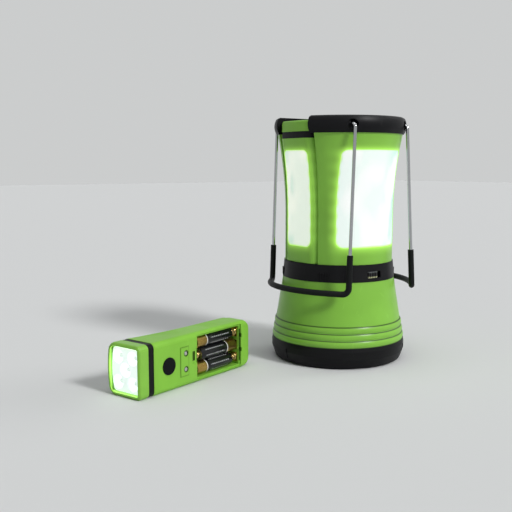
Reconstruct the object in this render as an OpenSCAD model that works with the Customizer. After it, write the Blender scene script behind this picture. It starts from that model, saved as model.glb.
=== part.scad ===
// Camping lantern with two pull-out torches, one docked and one laid beside it.
// Origin on the lantern's axis at its foot, +Z up.
// The docks face -X (torch in place) and +X (empty). The big windows face -Y and +Y.

/* [Heights] */
// Height of the black base
base_h = 18.2; // [14:0.2:24]
// Height of the green cone between base and waist band
cone_h = 53.8; // [50:0.2:64]
// Height of the black waist band
waist_h = 14.4; // [12:0.2:18]
// Height of the green tower between waist band and top cap
tower_h = 108.6; // [104:0.2:116]
// Height of the black top cap
cap_h = 14; // [12:0.2:18]

/* [Radii] */
// Base radius where it meets the cone
base_r = 57.6; // [54:0.2:62]
// How much narrower the base is at the table
foot_in = 1.2; // [0.2:0.2:3]
// Cone radius under the waist band
cone_top_r = 48.8; // [47.6:0.2:52]
// Waist band radius at its lower edge
waist_low_r = 49.1; // [48.6:0.1:52]
// Waist band radius at its upper edge
waist_top_r = 47.8; // [47.4:0.1:50]
// Tower radius below the flare
tower_r = 47; // [46.6:0.1:48]
// Radius of the tower at its top, under the cap
tower_top_r = 53.95; // [52:0.05:56]
// Height above the waist band at which the flare starts
flare_start = 40; // [36:1:48]
// How far the cap's lower edge stands out from the tower
cap_over = 1.05; // [0.8:0.05:2]
// How far the cap bows out from its lower edge
cap_swell = 2.1; // [1.5:0.1:3]

/* [Walls and fits] */
// Wall of the tower, cone and cap
wall = 2.4; // [1.8:0.1:3]
// Wall of the base
base_wall = 2.6; // [2:0.1:3.4]
// Gap between pieces that drop into each other
fit_gap = 0.2; // [0.1:0.05:0.4]
// Radial clearance of pins and plungers in their holes
run_gap = 0.06; // [0.03:0.01:0.1]

/* [Windows] */
// Width of a lantern window, straight across
window_w = 66; // [50:1:68]
// Height of the lower window edge above the waist band
window_up = 14.1; // [10:0.1:18]
// Distance of the upper window edge below the top of the tower
window_down = 13.5; // [11:0.1:18]
// Corner radius of the windows
window_corner = 5; // [2:0.5:8]
// Thickness of the diffusers
diffuser_t = 2; // [1.6:0.1:2.4]
// Width of a torch's side window
side_window_w = 30.8; // [24:0.2:32]

/* [Torch] */
// Distance of a docked torch's rim below the top of the cap
head_down = 3.4; // [2:0.2:6]
// Width of a torch
torch_w = 40; // [38.6:0.2:42]
// Distance of a docked torch's flat face from the lantern's axis
dock_d = 18; // [17:0.2:19]
// Length of the green head rim
bezel_l = 9; // [7:0.2:11]
// Length of the black band behind the rim
band_l = 5.5; // [4:0.5:7]
// Rounding of the long outer edges
edge_out_r = 6; // [4:0.5:7]
// Rounding of the long edges of the flat face
edge_in_r = 4; // [2:0.5:5]
// Rounding of the tail end's edge along the flat face
tail_round = 4.2; // [3:0.2:5]
// Rounding of the two corners of the tail end
tail_corner = 9; // [5:0.5:9.5]
// Angle through which a docked torch tips out
tip_angle = 20; // [10:1:22]

/* [Torch battery bay] */
// Diameter of an AAA cell
aaa_d = 10.5; // [10:0.1:10.6]
// Length of an AAA cell
aaa_l = 44.5; // [43:0.5:45]
// Spacing of the three cells
aaa_pitch = 10.8; // [10.7:0.1:11]
// Length of the bay
bay_l = 52; // [51:0.5:54]
// Distance from the tail to the bay
bay_up = 14.2; // [13:0.2:15]
// Thickness of the battery cover
cover_t = 1.6; // [1.2:0.1:2]

/* [Torch controls] */
// Diameter of the push button
button_d = 13.2; // [10:0.2:13.6]
// Distance from the band back to the button's centre
button_back = 15.5; // [15.5:0.2:18.5]
// Travel of the push button
button_travel = 1.5; // [1:0.1:2]
// Height of the contact studs above the tail
stud_up = 80.5; // [79:0.5:83]
// Spacing of the two contact studs
stud_pitch = 12.4; // [10:0.2:14]
// Diameter of a contact stud
stud_d = 3.6; // [3:0.1:4.4]

/* [Bails] */
// Diameter of the bail wire
wire_d = 2.8; // [2.4:0.1:3.2]
// Outer diameter of the grip sleeve
grip_d = 5; // [4.4:0.1:6]
// Distance of a bail's pivot line from the lantern's axis
pivot_x = 29.6; // [28:0.2:31]
// How far the bail legs stand clear of the cap at their pivots, measured to their centres
leg_clear = 2.4; // [2:0.1:4]
// Height of the pivots above the underside of the cap
pivot_up = 6.8; // [6:0.1:8]
// Length from pivot to grip bar
bail_l = 137.6; // [132:0.2:142]
// Lean of the bail beside the docked torch away from the lantern, in degrees
lean_left = 2; // [1:0.2:5]
// Lean of the bail beside the empty dock away from the lantern, in degrees
lean_right = 4.2; // [1:0.2:5]
// How far the grip bar bows away from its two corners
bar_bow = 24.6; // [20:0.2:27]
// Length of leg that the grip sleeve covers
sleeve_up = 32; // [20:1:40]
// Bend radius at the corners of the grip bar
corner_r = 5; // [4:0.5:7]
// Bend radius at the pivots
stub_r = 3; // [2.6:0.2:4]

/* [Main batteries] */
// Diameter of a D cell
d_cell_d = 33.2; // [32.4:0.2:34]
// Length of a D cell without its nub
d_cell_l = 59.5; // [58:0.5:60.5]

/* [Switch] */
// Width of the slot of the main switch
switch_w = 14; // [12:0.5:16]
// Height of the slot of the main switch
switch_h = 5.6; // [5:0.2:7]
// Height of the slot above the lower edge of the waist band
switch_up = 3; // [2:0.2:6]
// Distance of the slot from the middle of the front, towards the docked torch
switch_off = 2.6; // [0:0.2:6]
// Travel of the main switch
switch_travel = 4; // [3:0.5:5]

/* [Hidden] */

eps = 0.01;
fine = 180;
small = 48;
wire_n = 24;
bend_n = 72;

// Rounds a derived size to 0.05 mm
function to_grid(v) = round(v * 20) / 20;

// Levels
cone_z = base_h;
waist_z = cone_z + cone_h;
tower_z = waist_z + waist_h;
cap_z = tower_z + tower_h;
top_z = cap_z + cap_h;
flare_z = tower_z + flare_start;
deck_t = 2.4;
deck_low = waist_z + 2;
deck_z = deck_low + deck_t;
window_z = tower_z + window_up;
window_h = tower_h - window_up - window_down;

// Radii that follow, and the arc that flares the tower outwards
cap_low_r = tower_top_r + cap_over;
cap_r = cap_low_r + cap_swell;
flare_out = tower_top_r - tower_r;
foot_r = base_r - foot_in;
leg_y = to_grid(sqrt(pow(cap_r, 2) - pow(pivot_x, 2)) + leg_clear);
flare_arc = (pow(cap_z - flare_z, 2) + pow(flare_out, 2)) / (2 * flare_out);
waist_in_r = waist_top_r - 2;
tower_max_r = tower_r + 12;
skirt_r = cap_low_r - wall - 1;

// Docks
dock_gap = 0.4;
dock_hw = torch_w / 2 + dock_gap;
dock_back = dock_d - 0.9;
liner_t = 2;
torch_z = deck_z + fit_gap;
torch_l = top_z - head_down - torch_z;
flush = 0.4;
tail_step = 1.8;
tail_in = tower_z - torch_z + 0.3;
torch_hw = torch_w / 2;
bezel_u = torch_l - bezel_l;
band_u = bezel_u - band_l;
button_up = band_u - button_back;
neck_inset = 1.6;
skin = 2.2;

// Colours
GREEN = [0.42, 0.72, 0.18];
BLACK = [0.05, 0.055, 0.06];
CHROME = [0.78, 0.79, 0.8];
WHITE = [0.93, 0.95, 0.93];
BOARD = [0.85, 0.86, 0.84];
BRASS = [0.72, 0.56, 0.22];
RUBBER = [0.09, 0.09, 0.095];

// ---------------------------------------------------------------- tower

// Radius of the tower's outer surface at a height
function tower_r_at(z) = z <= flare_z ? tower_r
    : tower_r + flare_arc - sqrt(pow(flare_arc, 2) - pow(z - flare_z, 2));

// Solid inside the tower's outer surface, moved inwards by inset
module tower_body(inset, z_lo, z_hi) {
    rotate_extrude($fn = fine)
        difference() {
            union() {
                translate([0, z_lo])
                    square([tower_r - inset, z_hi - z_lo]);
                if (z_hi > flare_z)
                    translate([0, flare_z])
                        square([tower_max_r, z_hi - flare_z]);
            }
            translate([tower_r + flare_arc, flare_z])
                circle(r = flare_arc + inset, $fn = 720);
        }
}

// Upright slab with rounded corners, seen along Y: width, height, depth from y0
module window_prism(w, h, r, y0, y1) {
    translate([0, y1, 0])
        rotate([90, 0, 0])
            linear_extrude(y1 - y0)
                rounded_panel(w, h, r);
}

module rounded_panel(w, h, r) {
    square_w = w - 2 * r;
    translate([-w / 2, r]) square([w, h - 2 * r]);
    translate([-square_w / 2, 0]) square([square_w, h]);
    for (sx = [-1, 1], z = [r, h - r])
        translate([sx * square_w / 2, z]) circle(r = r, $fn = small);
}

// Both docks at once
module both_docks() {
    for (turn = [0, 180]) rotate([0, 0, turn]) children();
}

// Space that a torch drops into, for the dock on +X
module dock_void(z_lo) {
    translate([dock_back, -dock_hw, z_lo])
        cube([tower_max_r, 2 * dock_hw, top_z + 1 - z_lo]);
}

// Block from which the dock's back and side walls are left
module dock_liner(z_lo, z_hi) {
    translate([dock_back - liner_t, -dock_hw - liner_t, z_lo])
        cube([tower_max_r, 2 * (dock_hw + liner_t), z_hi - z_lo]);
}

// V groove that softens the tower's edge along the dock
module dock_groove() {
    groove_deep = 4.4;
    groove_w = 5;
    groove_x = sqrt(pow(tower_r, 2) - pow(dock_hw, 2)) - groove_deep;
    for (s = [-1, 1])
        translate([0, 0, tower_z - eps])
            linear_extrude(tower_h + 6)
                polygon([
                    [groove_x, s * (dock_hw - eps)],
                    [tower_max_r, s * (dock_hw - eps)],
                    [tower_max_r, s * (dock_hw + groove_w)]
                ]);
}

module tower_shell() {
    color(GREEN)
    difference() {
        union() {
            difference() {
                tower_body(0, tower_z, cap_z);
                tower_body(wall, tower_z - 1, cap_z + 1);
            }
            // skirt inside the waist band, with the deck that closes the battery chamber
            translate([0, 0, deck_low])
                cylinder(r = waist_in_r - run_gap, h = deck_t, $fn = fine);
            difference() {
                translate([0, 0, deck_low])
                    cylinder(r = waist_in_r - run_gap, h = tower_z - deck_low + wall, $fn = fine);
                translate([0, 0, deck_low - 1])
                    cylinder(r = waist_in_r - wall, h = tower_z - deck_low + wall + 2, $fn = fine);
            }
            // spigot that centres the cap, with two lugs for its screws
            difference() {
                translate([0, 0, cap_z - wall])
                    cylinder(r = skirt_r - fit_gap, h = wall + spigot_h, $fn = fine);
                translate([0, 0, cap_z - wall - 1])
                    cylinder(r = spigot_in_r, h = wall + spigot_h + 2, $fn = fine);
                both_docks()
                    translate([0, -dock_hw - liner_t - fit_gap, cap_z - wall - 1])
                        cube([tower_max_r, 2 * (dock_hw + liner_t + fit_gap),
                            wall + spigot_h + 2]);
                pivots()
                    translate([0, 0, boss_in - fit_gap])
                        cylinder(r = boss_r + fit_gap, h = cap_r, $fn = small);
            }
            screw_spots() cylinder(r = lug_r, h = wall + spigot_h, $fn = small);
            intersection() {
                union() {
                    tower_body(0, tower_z, cap_z);
                    translate([0, 0, deck_low])
                        cylinder(r = waist_in_r - run_gap, h = tower_z - deck_low + eps, $fn = fine);
                }
                both_docks() dock_liner(deck_low, cap_z);
            }
        }
        both_docks() {
            dock_void(deck_z);
            dock_groove();
            contact_holes();
        }
        both_docks()
            translate([0, 0, window_z])
                window_prism(window_w, window_h, window_corner,
                    -tower_max_r, -dock_hw - liner_t - 1);
        deck_wire_hole();
        screw_spots() cylinder(r = screw_r + run_gap, h = 20, $fn = small);
    }
}

// Holes for the two spring contacts of a dock
contact_d = 3;
module contact_holes() {
    for (s = [-1, 1])
        translate([dock_back - liner_t - 1, s * stud_pitch / 2, torch_z + stud_up])
            rotate([0, 90, 0])
                cylinder(d = contact_d + 2 * run_gap, h = liner_t + 2, $fn = small);
}

module deck_wire_hole() {
    translate([0, 20, deck_low - 1])
        cylinder(d = 6, h = deck_t + 2, $fn = small);
}

// Diffuser of a lantern window, for the side facing -Y, with a lip behind the wall
window_in = wall + 1.2;
module lantern_window() {
    lip = 2.6;
    color(WHITE)
    intersection() {
        translate([0, -tower_max_r / 2 - 5, window_z + window_h / 2])
            cube([2 * tower_max_r, tower_max_r - 10, window_h + 20], center = true);
        union() {
            intersection() {
                difference() {
                    tower_body(0.3, tower_z, cap_z);
                    tower_body(window_in, tower_z - 1, cap_z + 1);
                }
                translate([0, 0, window_z + fit_gap])
                    window_prism(window_w - 2 * fit_gap, window_h - 2 * fit_gap,
                        window_corner, -tower_max_r, 0);
            }
            intersection() {
                difference() {
                    tower_body(wall + 0.1, tower_z, cap_z);
                    tower_body(window_in, tower_z - 1, cap_z + 1);
                }
                translate([0, 0, window_z - lip])
                    window_prism(window_w + 2 * lip, window_h + 2 * lip,
                        window_corner, -tower_max_r, 0);
            }
        }
    }
}
module window_front() lantern_window();
module window_back() rotate([0, 0, 180]) lantern_window();

// Lamp trough behind a lantern window, for the side facing -Y
reflector_y = 12;
reflector_t = 1.2;
trough_hw = dock_back - liner_t - 1.5;
module lamp_trough() {
    t = reflector_t;
    lip_y = dock_hw + liner_t + 0.6;
    wing_y = lip_y + 4.4;
    wing_x = sqrt(pow(tower_r - window_in - fit_gap, 2) - pow(wing_y + t, 2));
    color(WHITE)
    translate([0, 0, deck_z])
        linear_extrude(window_z + window_h + 4 - deck_z)
            polygon([
                [-trough_hw, -reflector_y], [trough_hw, -reflector_y],
                [trough_hw, -lip_y], [wing_x, -wing_y], [wing_x, -wing_y - t],
                [trough_hw - t, -lip_y - t], [trough_hw - t, -reflector_y - t],
                [-trough_hw + t, -reflector_y - t], [-trough_hw + t, -lip_y - t],
                [-wing_x, -wing_y - t], [-wing_x, -wing_y], [-trough_hw, -lip_y]
            ]);
}
module reflector_front() lamp_trough();
module reflector_back() rotate([0, 0, 180]) lamp_trough();

// Board with two columns of lamps, for the side facing -Y
board_t = 1.6;
led_d = 5;
module lamp_board() {
    board_w = 2 * (trough_hw - reflector_t) - 1;
    rows = 7;
    pitch = (window_h - 10) / (rows - 1);
    y0 = -reflector_y - reflector_t;
    color(BOARD)
    translate([-board_w / 2, y0 - board_t, window_z + 1])
        cube([board_w, board_t, window_h - 2]);
    color(WHITE)
    for (s = [-1, 1], i = [0 : rows - 1])
        translate([s * board_w / 4, y0 - board_t, window_z + 5 + i * pitch])
            rotate([90, 0, 0]) {
                cylinder(d = led_d, h = 2, $fn = small);
                translate([0, 0, 2]) sphere(d = led_d, $fn = small);
            }
}
module led_board_front() lamp_board();
module led_board_back() rotate([0, 0, 180]) lamp_board();

// Control board standing on the deck between the two troughs
module driver_board() {
    board_w = 2 * trough_hw - 4;
    board_h = window_h - 11;
    chip_w = 8;
    chip_t = 2.4;
    chip_pitch = 18;
    capacitor_d = 8;
    capacitor_l = 7;
    color([0.1, 0.3, 0.16])
    translate([-board_w / 2, -board_t / 2, deck_z])
        cube([board_w, board_t, board_h]);
    color(BLACK)
    for (i = [-1 : 1])
        translate([-chip_w / 2, board_t / 2, deck_z + board_h / 2 + i * chip_pitch])
            cube([chip_w, chip_t, chip_w]);
    color(CHROME)
    translate([0, -board_t / 2, deck_z + board_h / 2 - chip_pitch / 2])
        rotate([90, 0, 0]) cylinder(d = capacitor_d, h = capacitor_l, $fn = small);
}

// Spring contacts that meet a docked torch's studs
module dock_contacts() {
    color(BRASS)
    both_docks()
        for (s = [-1, 1])
            translate([dock_back - liner_t - 1.5, s * stud_pitch / 2, torch_z + stud_up])
                rotate([0, 90, 0]) {
                    cylinder(d = contact_d + 1.6, h = 1.5, $fn = small);
                    cylinder(d = contact_d, h = 1.5 + liner_t + 0.3, $fn = small);
                }
}

// ---------------------------------------------------------------- base and cone

// Three bulging ribs stand in a row above the base, each an arc from groove to groove
rib_n = 3;
rib_pitch = 5.7;
rib_bulge = 0.9;
rib_arc = (pow(rib_pitch / 2, 2) + pow(rib_bulge, 2)) / (2 * rib_bulge);
function cone_r_at(z) = base_r + (cone_top_r - base_r) * (z - cone_z) / cone_h;

// Green cone with three rounded ribs above the base
module cone_shell() {
    seat_r = waist_in_r - run_gap;
    color(GREEN)
    difference() {
        union() {
            rotate_extrude($fn = fine) {
                polygon([
                    [0, cone_z], [base_r, cone_z], [cone_top_r, waist_z], [0, waist_z]
                ]);
                intersection() {
                    translate([base_r - wall, cone_z]) square([wall * 2, cone_h]);
                    for (i = [0 : rib_n - 1])
                        translate([
                            cone_r_at(cone_z + (i + 0.5) * rib_pitch) + rib_bulge - rib_arc,
                            cone_z + (i + 0.5) * rib_pitch
                        ])
                            circle(r = rib_arc, $fn = fine);
                }
            }
            // rim that the waist band sits round
            translate([0, 0, waist_z - eps])
                cylinder(r = seat_r, h = deck_low - waist_z + eps, $fn = fine);
        }
        rotate_extrude($fn = fine)
            polygon([
                [0, cone_z - 1], [base_r - wall, cone_z - 1], [base_r - wall, cone_z],
                [cone_top_r - wall - 1, waist_z - 3], [0, waist_z - 3]
            ]);
        translate([0, 0, waist_z - 4])
            cylinder(r = seat_r - 3, h = 10, $fn = fine);
    }
}

panel_span = 76;
panel_deep = 0.6;
panel_low = 4.4;
panel_top = 4.2;
index_angle = 1.4;
index_t = 0.4;
index_up = 1;
index_top = 13;
module base_cover() {
    floor_t = 2.4;
    edge = 3;
    rise = 0.6;
    bulge = 0.9;
    side_z = base_h * 0.55;
    side_r = base_r + bulge;
    foot_z = rise + edge;
    flank = (side_r - foot_r) / (side_z - foot_z);
    color(BLACK)
    difference() {
        union() {
            rotate_extrude($fn = fine)
                difference() {
                    polygon([
                        [0, rise], [foot_r - edge, rise], [foot_r - edge + 2, rise + 0.6],
                        [foot_r, foot_z], [side_r, side_z], [side_r, base_h - 3],
                        [base_r + 0.4, base_h], [0, base_h]
                    ]);
                    translate([0, floor_t + pad_t]) square([foot_r - base_wall, base_h]);
                    translate([seal_r - seal_t / 2 - run_gap, cone_z - seal_t])
                        square([seal_t + 2 * run_gap, seal_t + 1]);
                }
            // index ribs under the docks
            for (turn = [0, 180])
                rotate([0, 0, turn - index_angle / 2])
                    rotate_extrude(angle = index_angle, $fn = fine)
                        polygon([
                            [foot_r - 1.5, foot_z + index_up],
                            [foot_r + index_up * flank + index_t, foot_z + index_up],
                            [side_r + index_t, side_z], [side_r + index_t, index_top],
                            [foot_r - 1.5, index_top]
                        ]);
        }
        // recess for the foot pad
        translate([0, 0, -1]) cylinder(r = pad_r + fit_gap, h = pad_t + 1, $fn = fine);
        // shallow finger panels under the two windows
        for (turn = [90, 270])
            rotate([0, 0, turn - panel_span / 2])
                rotate_extrude(angle = panel_span, $fn = fine)
                    translate([side_r - panel_deep, panel_low])
                        square([5, base_h - panel_low - panel_top]);
    }
}

pad_t = 1.6;
pad_r = 46;
module foot_pad() {
    color(RUBBER) cylinder(r = pad_r, h = pad_t, $fn = fine);
}

// Rubber ring between base and cone
seal_r = base_r - 1.2;
seal_t = 1.2;
module base_seal() {
    color(RUBBER)
    rotate_extrude($fn = fine)
        translate([seal_r - seal_t / 2, cone_z - seal_t]) square([seal_t, seal_t]);
}

// Cage that holds the four main cells: two discs joined by a cross-shaped web
web_t = 1.6;
tray_t = 1.6;
tray_top_t = 2;
contact_h = 2.4;
d_nub_d = 9.5;
d_nub_h = 1.5;
cell_ring_r = (d_cell_d + web_t + 1) / sqrt(2);
tray_floor = pad_t + 2.4;
cell_z = tray_floor + tray_t + contact_h;
tray_top = deck_low;
module battery_tray() {
    tray_r = cell_ring_r + d_cell_d / 2 + 0.6;
    color(BLACK) {
        translate([0, 0, tray_floor]) cylinder(r = tray_r, h = tray_t, $fn = fine);
        translate([0, 0, tray_top - tray_top_t])
            cylinder(r = tray_r, h = tray_top_t, $fn = fine);
        for (a = [0, 90])
            rotate([0, 0, a])
                translate([-tray_r + 1, -web_t / 2, tray_floor + eps])
                    cube([2 * tray_r - 2, web_t, tray_top - tray_floor - 2 * eps]);
    }
}

// Four D cells, standing alternately up and down
module d_cells() {
    for (i = [0 : 3])
        rotate([0, 0, 45 + 90 * i])
            translate([cell_ring_r, 0, cell_z + (i % 2) * (d_cell_l + d_nub_h)])
                mirror([0, 0, i % 2]) {
                    color(BLACK) cylinder(d = d_cell_d, h = d_cell_l, $fn = fine);
                    color(BRASS) translate([0, 0, d_cell_l])
                        cylinder(d = d_nub_d, h = d_nub_h, $fn = small);
                }
}

// Contact plates above and below the cells
module tray_contacts() {
    plate_d = 12;
    tip_d = 6;
    top_z0 = cell_z + d_cell_l + d_nub_h;
    color(CHROME)
    for (i = [0 : 3])
        rotate([0, 0, 45 + 90 * i]) {
            translate([cell_ring_r, 0, tray_floor + tray_t])
                cylinder(d1 = plate_d, d2 = tip_d, h = contact_h, $fn = small);
            translate([cell_ring_r, 0, top_z0])
                cylinder(d1 = tip_d, d2 = plate_d, h = tray_top - tray_top_t - top_z0,
                    $fn = small);
        }
}

// Black band round the waist: hides the joint and forms the front wall of the docks
module waist_band() {
    rib_w = 0.9;
    rib_h = 6.4;
    color(BLACK)
    difference() {
        union() {
            rotate_extrude($fn = fine)
                polygon([
                    [waist_in_r, waist_z], [waist_low_r, waist_z],
                    [waist_top_r, tower_z], [waist_in_r, tower_z]
                ]);
            // fine finger ribs beside each dock
            for (turn = [0, 180], s = [-1, 1], i = [-2 : 2])
                rotate([0, 0, turn + s * 33.5 + i * 2.4])
                    translate([waist_in_r + 1, -rib_w / 2, waist_z + 1])
                        cube([waist_low_r - waist_in_r - 1 + 0.3, rib_w, rib_h]);
        }
        // slot of the main switch
        translate([switch_x, -waist_low_r - 2, switch_z])
            cube([switch_w, waist_low_r - waist_in_r + 4, switch_h]);
    }
}

// Slider of the main switch, at the off end of its slot, with three grip ribs
switch_x = -switch_off - switch_w / 2;
switch_z = waist_z + switch_up;
module mode_switch() {
    knob_w = switch_w - switch_travel - 2 * fit_gap;
    knob_h = switch_h - 2 * fit_gap;
    rib_w = 1.2;
    rib_pitch = 2.8;
    rib_end = 0.5;
    color(BLACK)
    translate([switch_x + fit_gap, -waist_low_r, switch_z + fit_gap]) {
        translate([0, 0.4, 0]) cube([knob_w, waist_low_r - waist_in_r - 0.6, knob_h]);
        for (i = [-1 : 1])
            translate([(knob_w - rib_w) / 2 + i * rib_pitch, -0.6, rib_end])
                cube([rib_w, 1.2, knob_h - 2 * rib_end]);
    }
}

// ---------------------------------------------------------------- cap

pivot_z = cap_z + pivot_up;
wire_r = wire_d / 2;
recess_r = 4;
recess_deep = 0.6;
recess_y = sqrt(pow(cap_r, 2) - pow(pivot_x + recess_r, 2)) - recess_deep;
boss_r = recess_r + 1.4;
boss_l = 7.6;
boss_in = to_grid(recess_y - boss_l);
bore_in = boss_in + 3;

cap_edge = 1.2;
// Solid inside the cap's bowed side, its top edge eased
module cap_body() {
    slope = 60;
    edge_x = cap_low_r - cap_edge;
    rotate_extrude($fn = fine)
        difference() {
            intersection() {
                translate([0, cap_z]) square([cap_r + 2, cap_h]);
                union() {
                    translate([cap_r - cap_bow, cap_z + cap_h / 2])
                        circle(r = cap_bow, $fn = fine);
                    translate([0, cap_z]) square([cap_low_r - 4, cap_h]);
                }
            }
            polygon([
                [edge_x, top_z], [edge_x + 6 * sin(slope), top_z - 6 * cos(slope)],
                [edge_x + 6 * sin(slope), top_z + 1], [edge_x, top_z + 1]
            ]);
        }
}
// Radius of the bow of the cap's side, from its widest and lower radii
cap_bow = (pow(cap_h / 2, 2) + pow(cap_r - cap_low_r, 2)) / (2 * (cap_r - cap_low_r));

module top_cap() {
    color(BLACK)
    difference() {
        union() {
            difference() {
                cap_body();
                translate([0, 0, cap_z - 1])
                    cylinder(r = skirt_r, h = cap_h - wall + 1, $fn = fine);
            }
            intersection() {
                cap_body();
                both_docks() dock_liner(cap_z, top_z);
            }
            // bosses behind the pivot recesses
            intersection() {
                cap_body();
                pivots()
                    translate([0, 0, boss_in])
                        cylinder(r = boss_r, h = cap_r, $fn = small);
            }
            // sockets for the screws
            difference() {
                screw_spots()
                    translate([0, 0, wall + spigot_h + fit_gap])
                        cylinder(r = lug_r, h = cap_h - spigot_h - wall, $fn = small);
                screw_spots()
                    cylinder(r = screw_r + run_gap, h = screw_l + 1, $fn = small);
            }
        }
        both_docks() dock_void(cap_z - 1);
        pivots() {
            translate([0, 0, bore_in]) cylinder(r = wire_r + run_gap, h = cap_r, $fn = small);
            translate([0, 0, recess_y]) cylinder(r = recess_r, h = 20, $fn = small);
        }
    }
}

// The four pivots, each with +Z pointing outwards along its axis
module pivots() {
    for (sx = [-1, 1], sy = [-1, 1])
        translate([sx * pivot_x, 0, pivot_z]) rotate([-sy * 90, 0, 0]) children();
}

// Screws that hold the cap, driven up through the tower's lugs
spigot_h = 3;
spigot_in_r = skirt_r - wall;
screw_r = 1.5;
screw_head_r = 3.2;
screw_l = wall + spigot_h + 6;
lug_r = 4.6;
screw_y = spigot_in_r - lug_r + 1.2;
module screw_spots() {
    for (s = [-1, 1]) translate([0, s * screw_y, cap_z - wall]) children();
}

module cap_screws() {
    head_h = 2;
    color(CHROME)
    screw_spots() {
        translate([0, 0, -head_h]) cylinder(r = screw_head_r, h = head_h, $fn = small);
        cylinder(r = screw_r, h = screw_l, $fn = small);
    }
}

// ---------------------------------------------------------------- bails

// A bail in its own frame: pivot line along Y through the origin, legs down, bar bowed to -X.
// Short straight knees join each corner bend to its leg and to the bowed bar.
knee = 2;
knee_lap = 0.15;
knee_swell = 0.02;
knee_out = corner_r + knee;
bar_arc = (pow(bar_bow, 2) + pow(leg_y, 2) - pow(knee_out, 2)) / (2 * bar_bow);
bar_centre = bar_arc - bar_bow;
bar_half = atan2(leg_y, bar_centre) - atan2(knee_out, bar_arc);
stub_in = bore_in + 0.5;

module legs(r, top) {
    for (s = [-1, 1])
        translate([0, s * leg_y, knee_out - bail_l])
            cylinder(r = r, h = bail_l - knee_out - top, $fn = wire_n);
}

module knee_rod(r) {
    cylinder(r = r + knee_swell, h = knee + 2 * knee_lap, $fn = wire_n);
}

module corners_and_bar(r) {
    for (s = [-1, 1])
        translate([
            -corner_r * sin(bar_half), s * (leg_y - corner_r * cos(bar_half)), corner_r - bail_l
        ])
            rotate([-90, 0, atan2(s * cos(bar_half), sin(bar_half))]) {
                rotate_extrude(angle = 90, $fn = bend_n)
                    translate([corner_r, 0]) circle(r = r, $fn = wire_n);
                translate([knee_lap, corner_r, 0]) rotate([0, -90, 0]) knee_rod(r);
                translate([corner_r, knee_lap, 0]) rotate([90, 0, 0]) knee_rod(r);
            }
    translate([bar_centre, 0, -bail_l])
        rotate([0, 0, 180 - bar_half])
            rotate_extrude(angle = 2 * bar_half, $fn = bend_n)
                translate([bar_arc, 0]) circle(r = r, $fn = wire_n);
}

module pivot_stubs(r) {
    for (s = [-1, 1]) {
        translate([0, s * (leg_y - stub_r), -stub_r])
            rotate([90, 0, s * 90])
                rotate_extrude(angle = 90, $fn = bend_n)
                    translate([stub_r, 0]) circle(r = r, $fn = wire_n);
        translate([0, s * stub_in, 0])
            rotate([-s * 90, 0, 0])
                cylinder(r = r, h = leg_y - stub_r - stub_in, $fn = wire_n);
    }
}

module bail_wire() {
    color(CHROME) {
        pivot_stubs(wire_r);
        legs(wire_r, stub_r);
        corners_and_bar(wire_r);
    }
}

module bail_grip() {
    bore_r = wire_r + run_gap;
    color(BLACK)
    difference() {
        union() {
            legs(grip_d / 2, bail_l - sleeve_up);
            corners_and_bar(grip_d / 2);
        }
        legs(bore_r, bail_l - sleeve_up - 1);
        corners_and_bar(bore_r);
    }
}

module hanging_bail(lean) {
    translate([-pivot_x, 0, pivot_z]) rotate([0, lean, 0]) children();
}
module left_bail() hanging_bail(lean_left) children();
module right_bail() rotate([0, 0, 180]) hanging_bail(lean_right) children();

module bail_wire_left() left_bail() bail_wire();
module bail_grip_left() left_bail() bail_grip();
module bail_wire_right() right_bail() bail_wire();
module bail_grip_right() right_bail() bail_grip();

// ---------------------------------------------------------------- torch

// A torch in its own frame: X from the flat face outwards, Y across, Z from tail to lens.
// Its outer face follows the tower's flare and is bowed across its width.
face_bow = 2;
tail_bow = 3.4;
flare_u = flare_z - torch_z;
window_u = window_z - torch_z;
lip_t = 1.2;
lip_w = 0.8;
lens_t = 2;
neck_u = torch_l - lip_t - lens_t - 0.1;
bulkhead_u = band_u - 7;

function torch_depth(u) = tower_r_at(torch_z + min(u, band_u)) - flush - dock_d;
function arc_points(x, y, r, a, n) = [
    for (i = [0 : n]) [x + r * cos(a + 90 * i / n), y + r * sin(a + 90 * i / n)]
];
function bowed(p, x0, x1, w, bow) =
    [p[0] + bow * (1 - pow(p[1] / w, 2)) * (p[0] - x0) / (x1 - x0), p[1]];

// Rounded outline between x0 and x1 and half width w, its outer side bowed
function outline(x0, x1, w, ri, ro, bow) =
    let (
        flat_x = x1 - bow,
        mid = w - ro,
        points = concat(
            arc_points(x0 + ri, ri - w, ri, 180, 4),
            arc_points(flat_x - ro, ro - w, ro, 270, 5),
            [for (k = [-2 : 2]) [flat_x, k * mid / 3]],
            arc_points(flat_x - ro, w - ro, ro, 0, 5),
            arc_points(x0 + ri, w - ri, ri, 90, 4)
        )
    ) [for (p = points) bowed(p, x0, flat_x, w, bow)];

// How far a rounded end of radius r draws in at u
function drawn_in(u, r) = u < r ? r - sqrt(pow(r, 2) - pow(r - u, 2)) : 0;

// Outline of the torch at u, moved inwards by inset; the tail end is rounded
function torch_outline(u, inset) =
    let (
        in_x = inset + drawn_in(u, tail_round),
        in_y = inset + drawn_in(u, tail_corner),
        seated = u <= tail_in
    ) outline(in_x, torch_depth(u) - (seated ? tail_step : 0) - in_x, torch_hw - in_y,
        max(edge_in_r - inset, 1), max(edge_out_r - inset, 1), seated ? tail_bow : face_bow);

function tail_us() = [for (i = [0 : 6]) tail_corner * (1 - cos(90 * i / 6))];
function body_us(end) = concat([tail_in, tail_in + 0.3, flare_u],
    [for (i = [1 : 6]) flare_u + (end - flare_u) * i / 6]);

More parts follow.
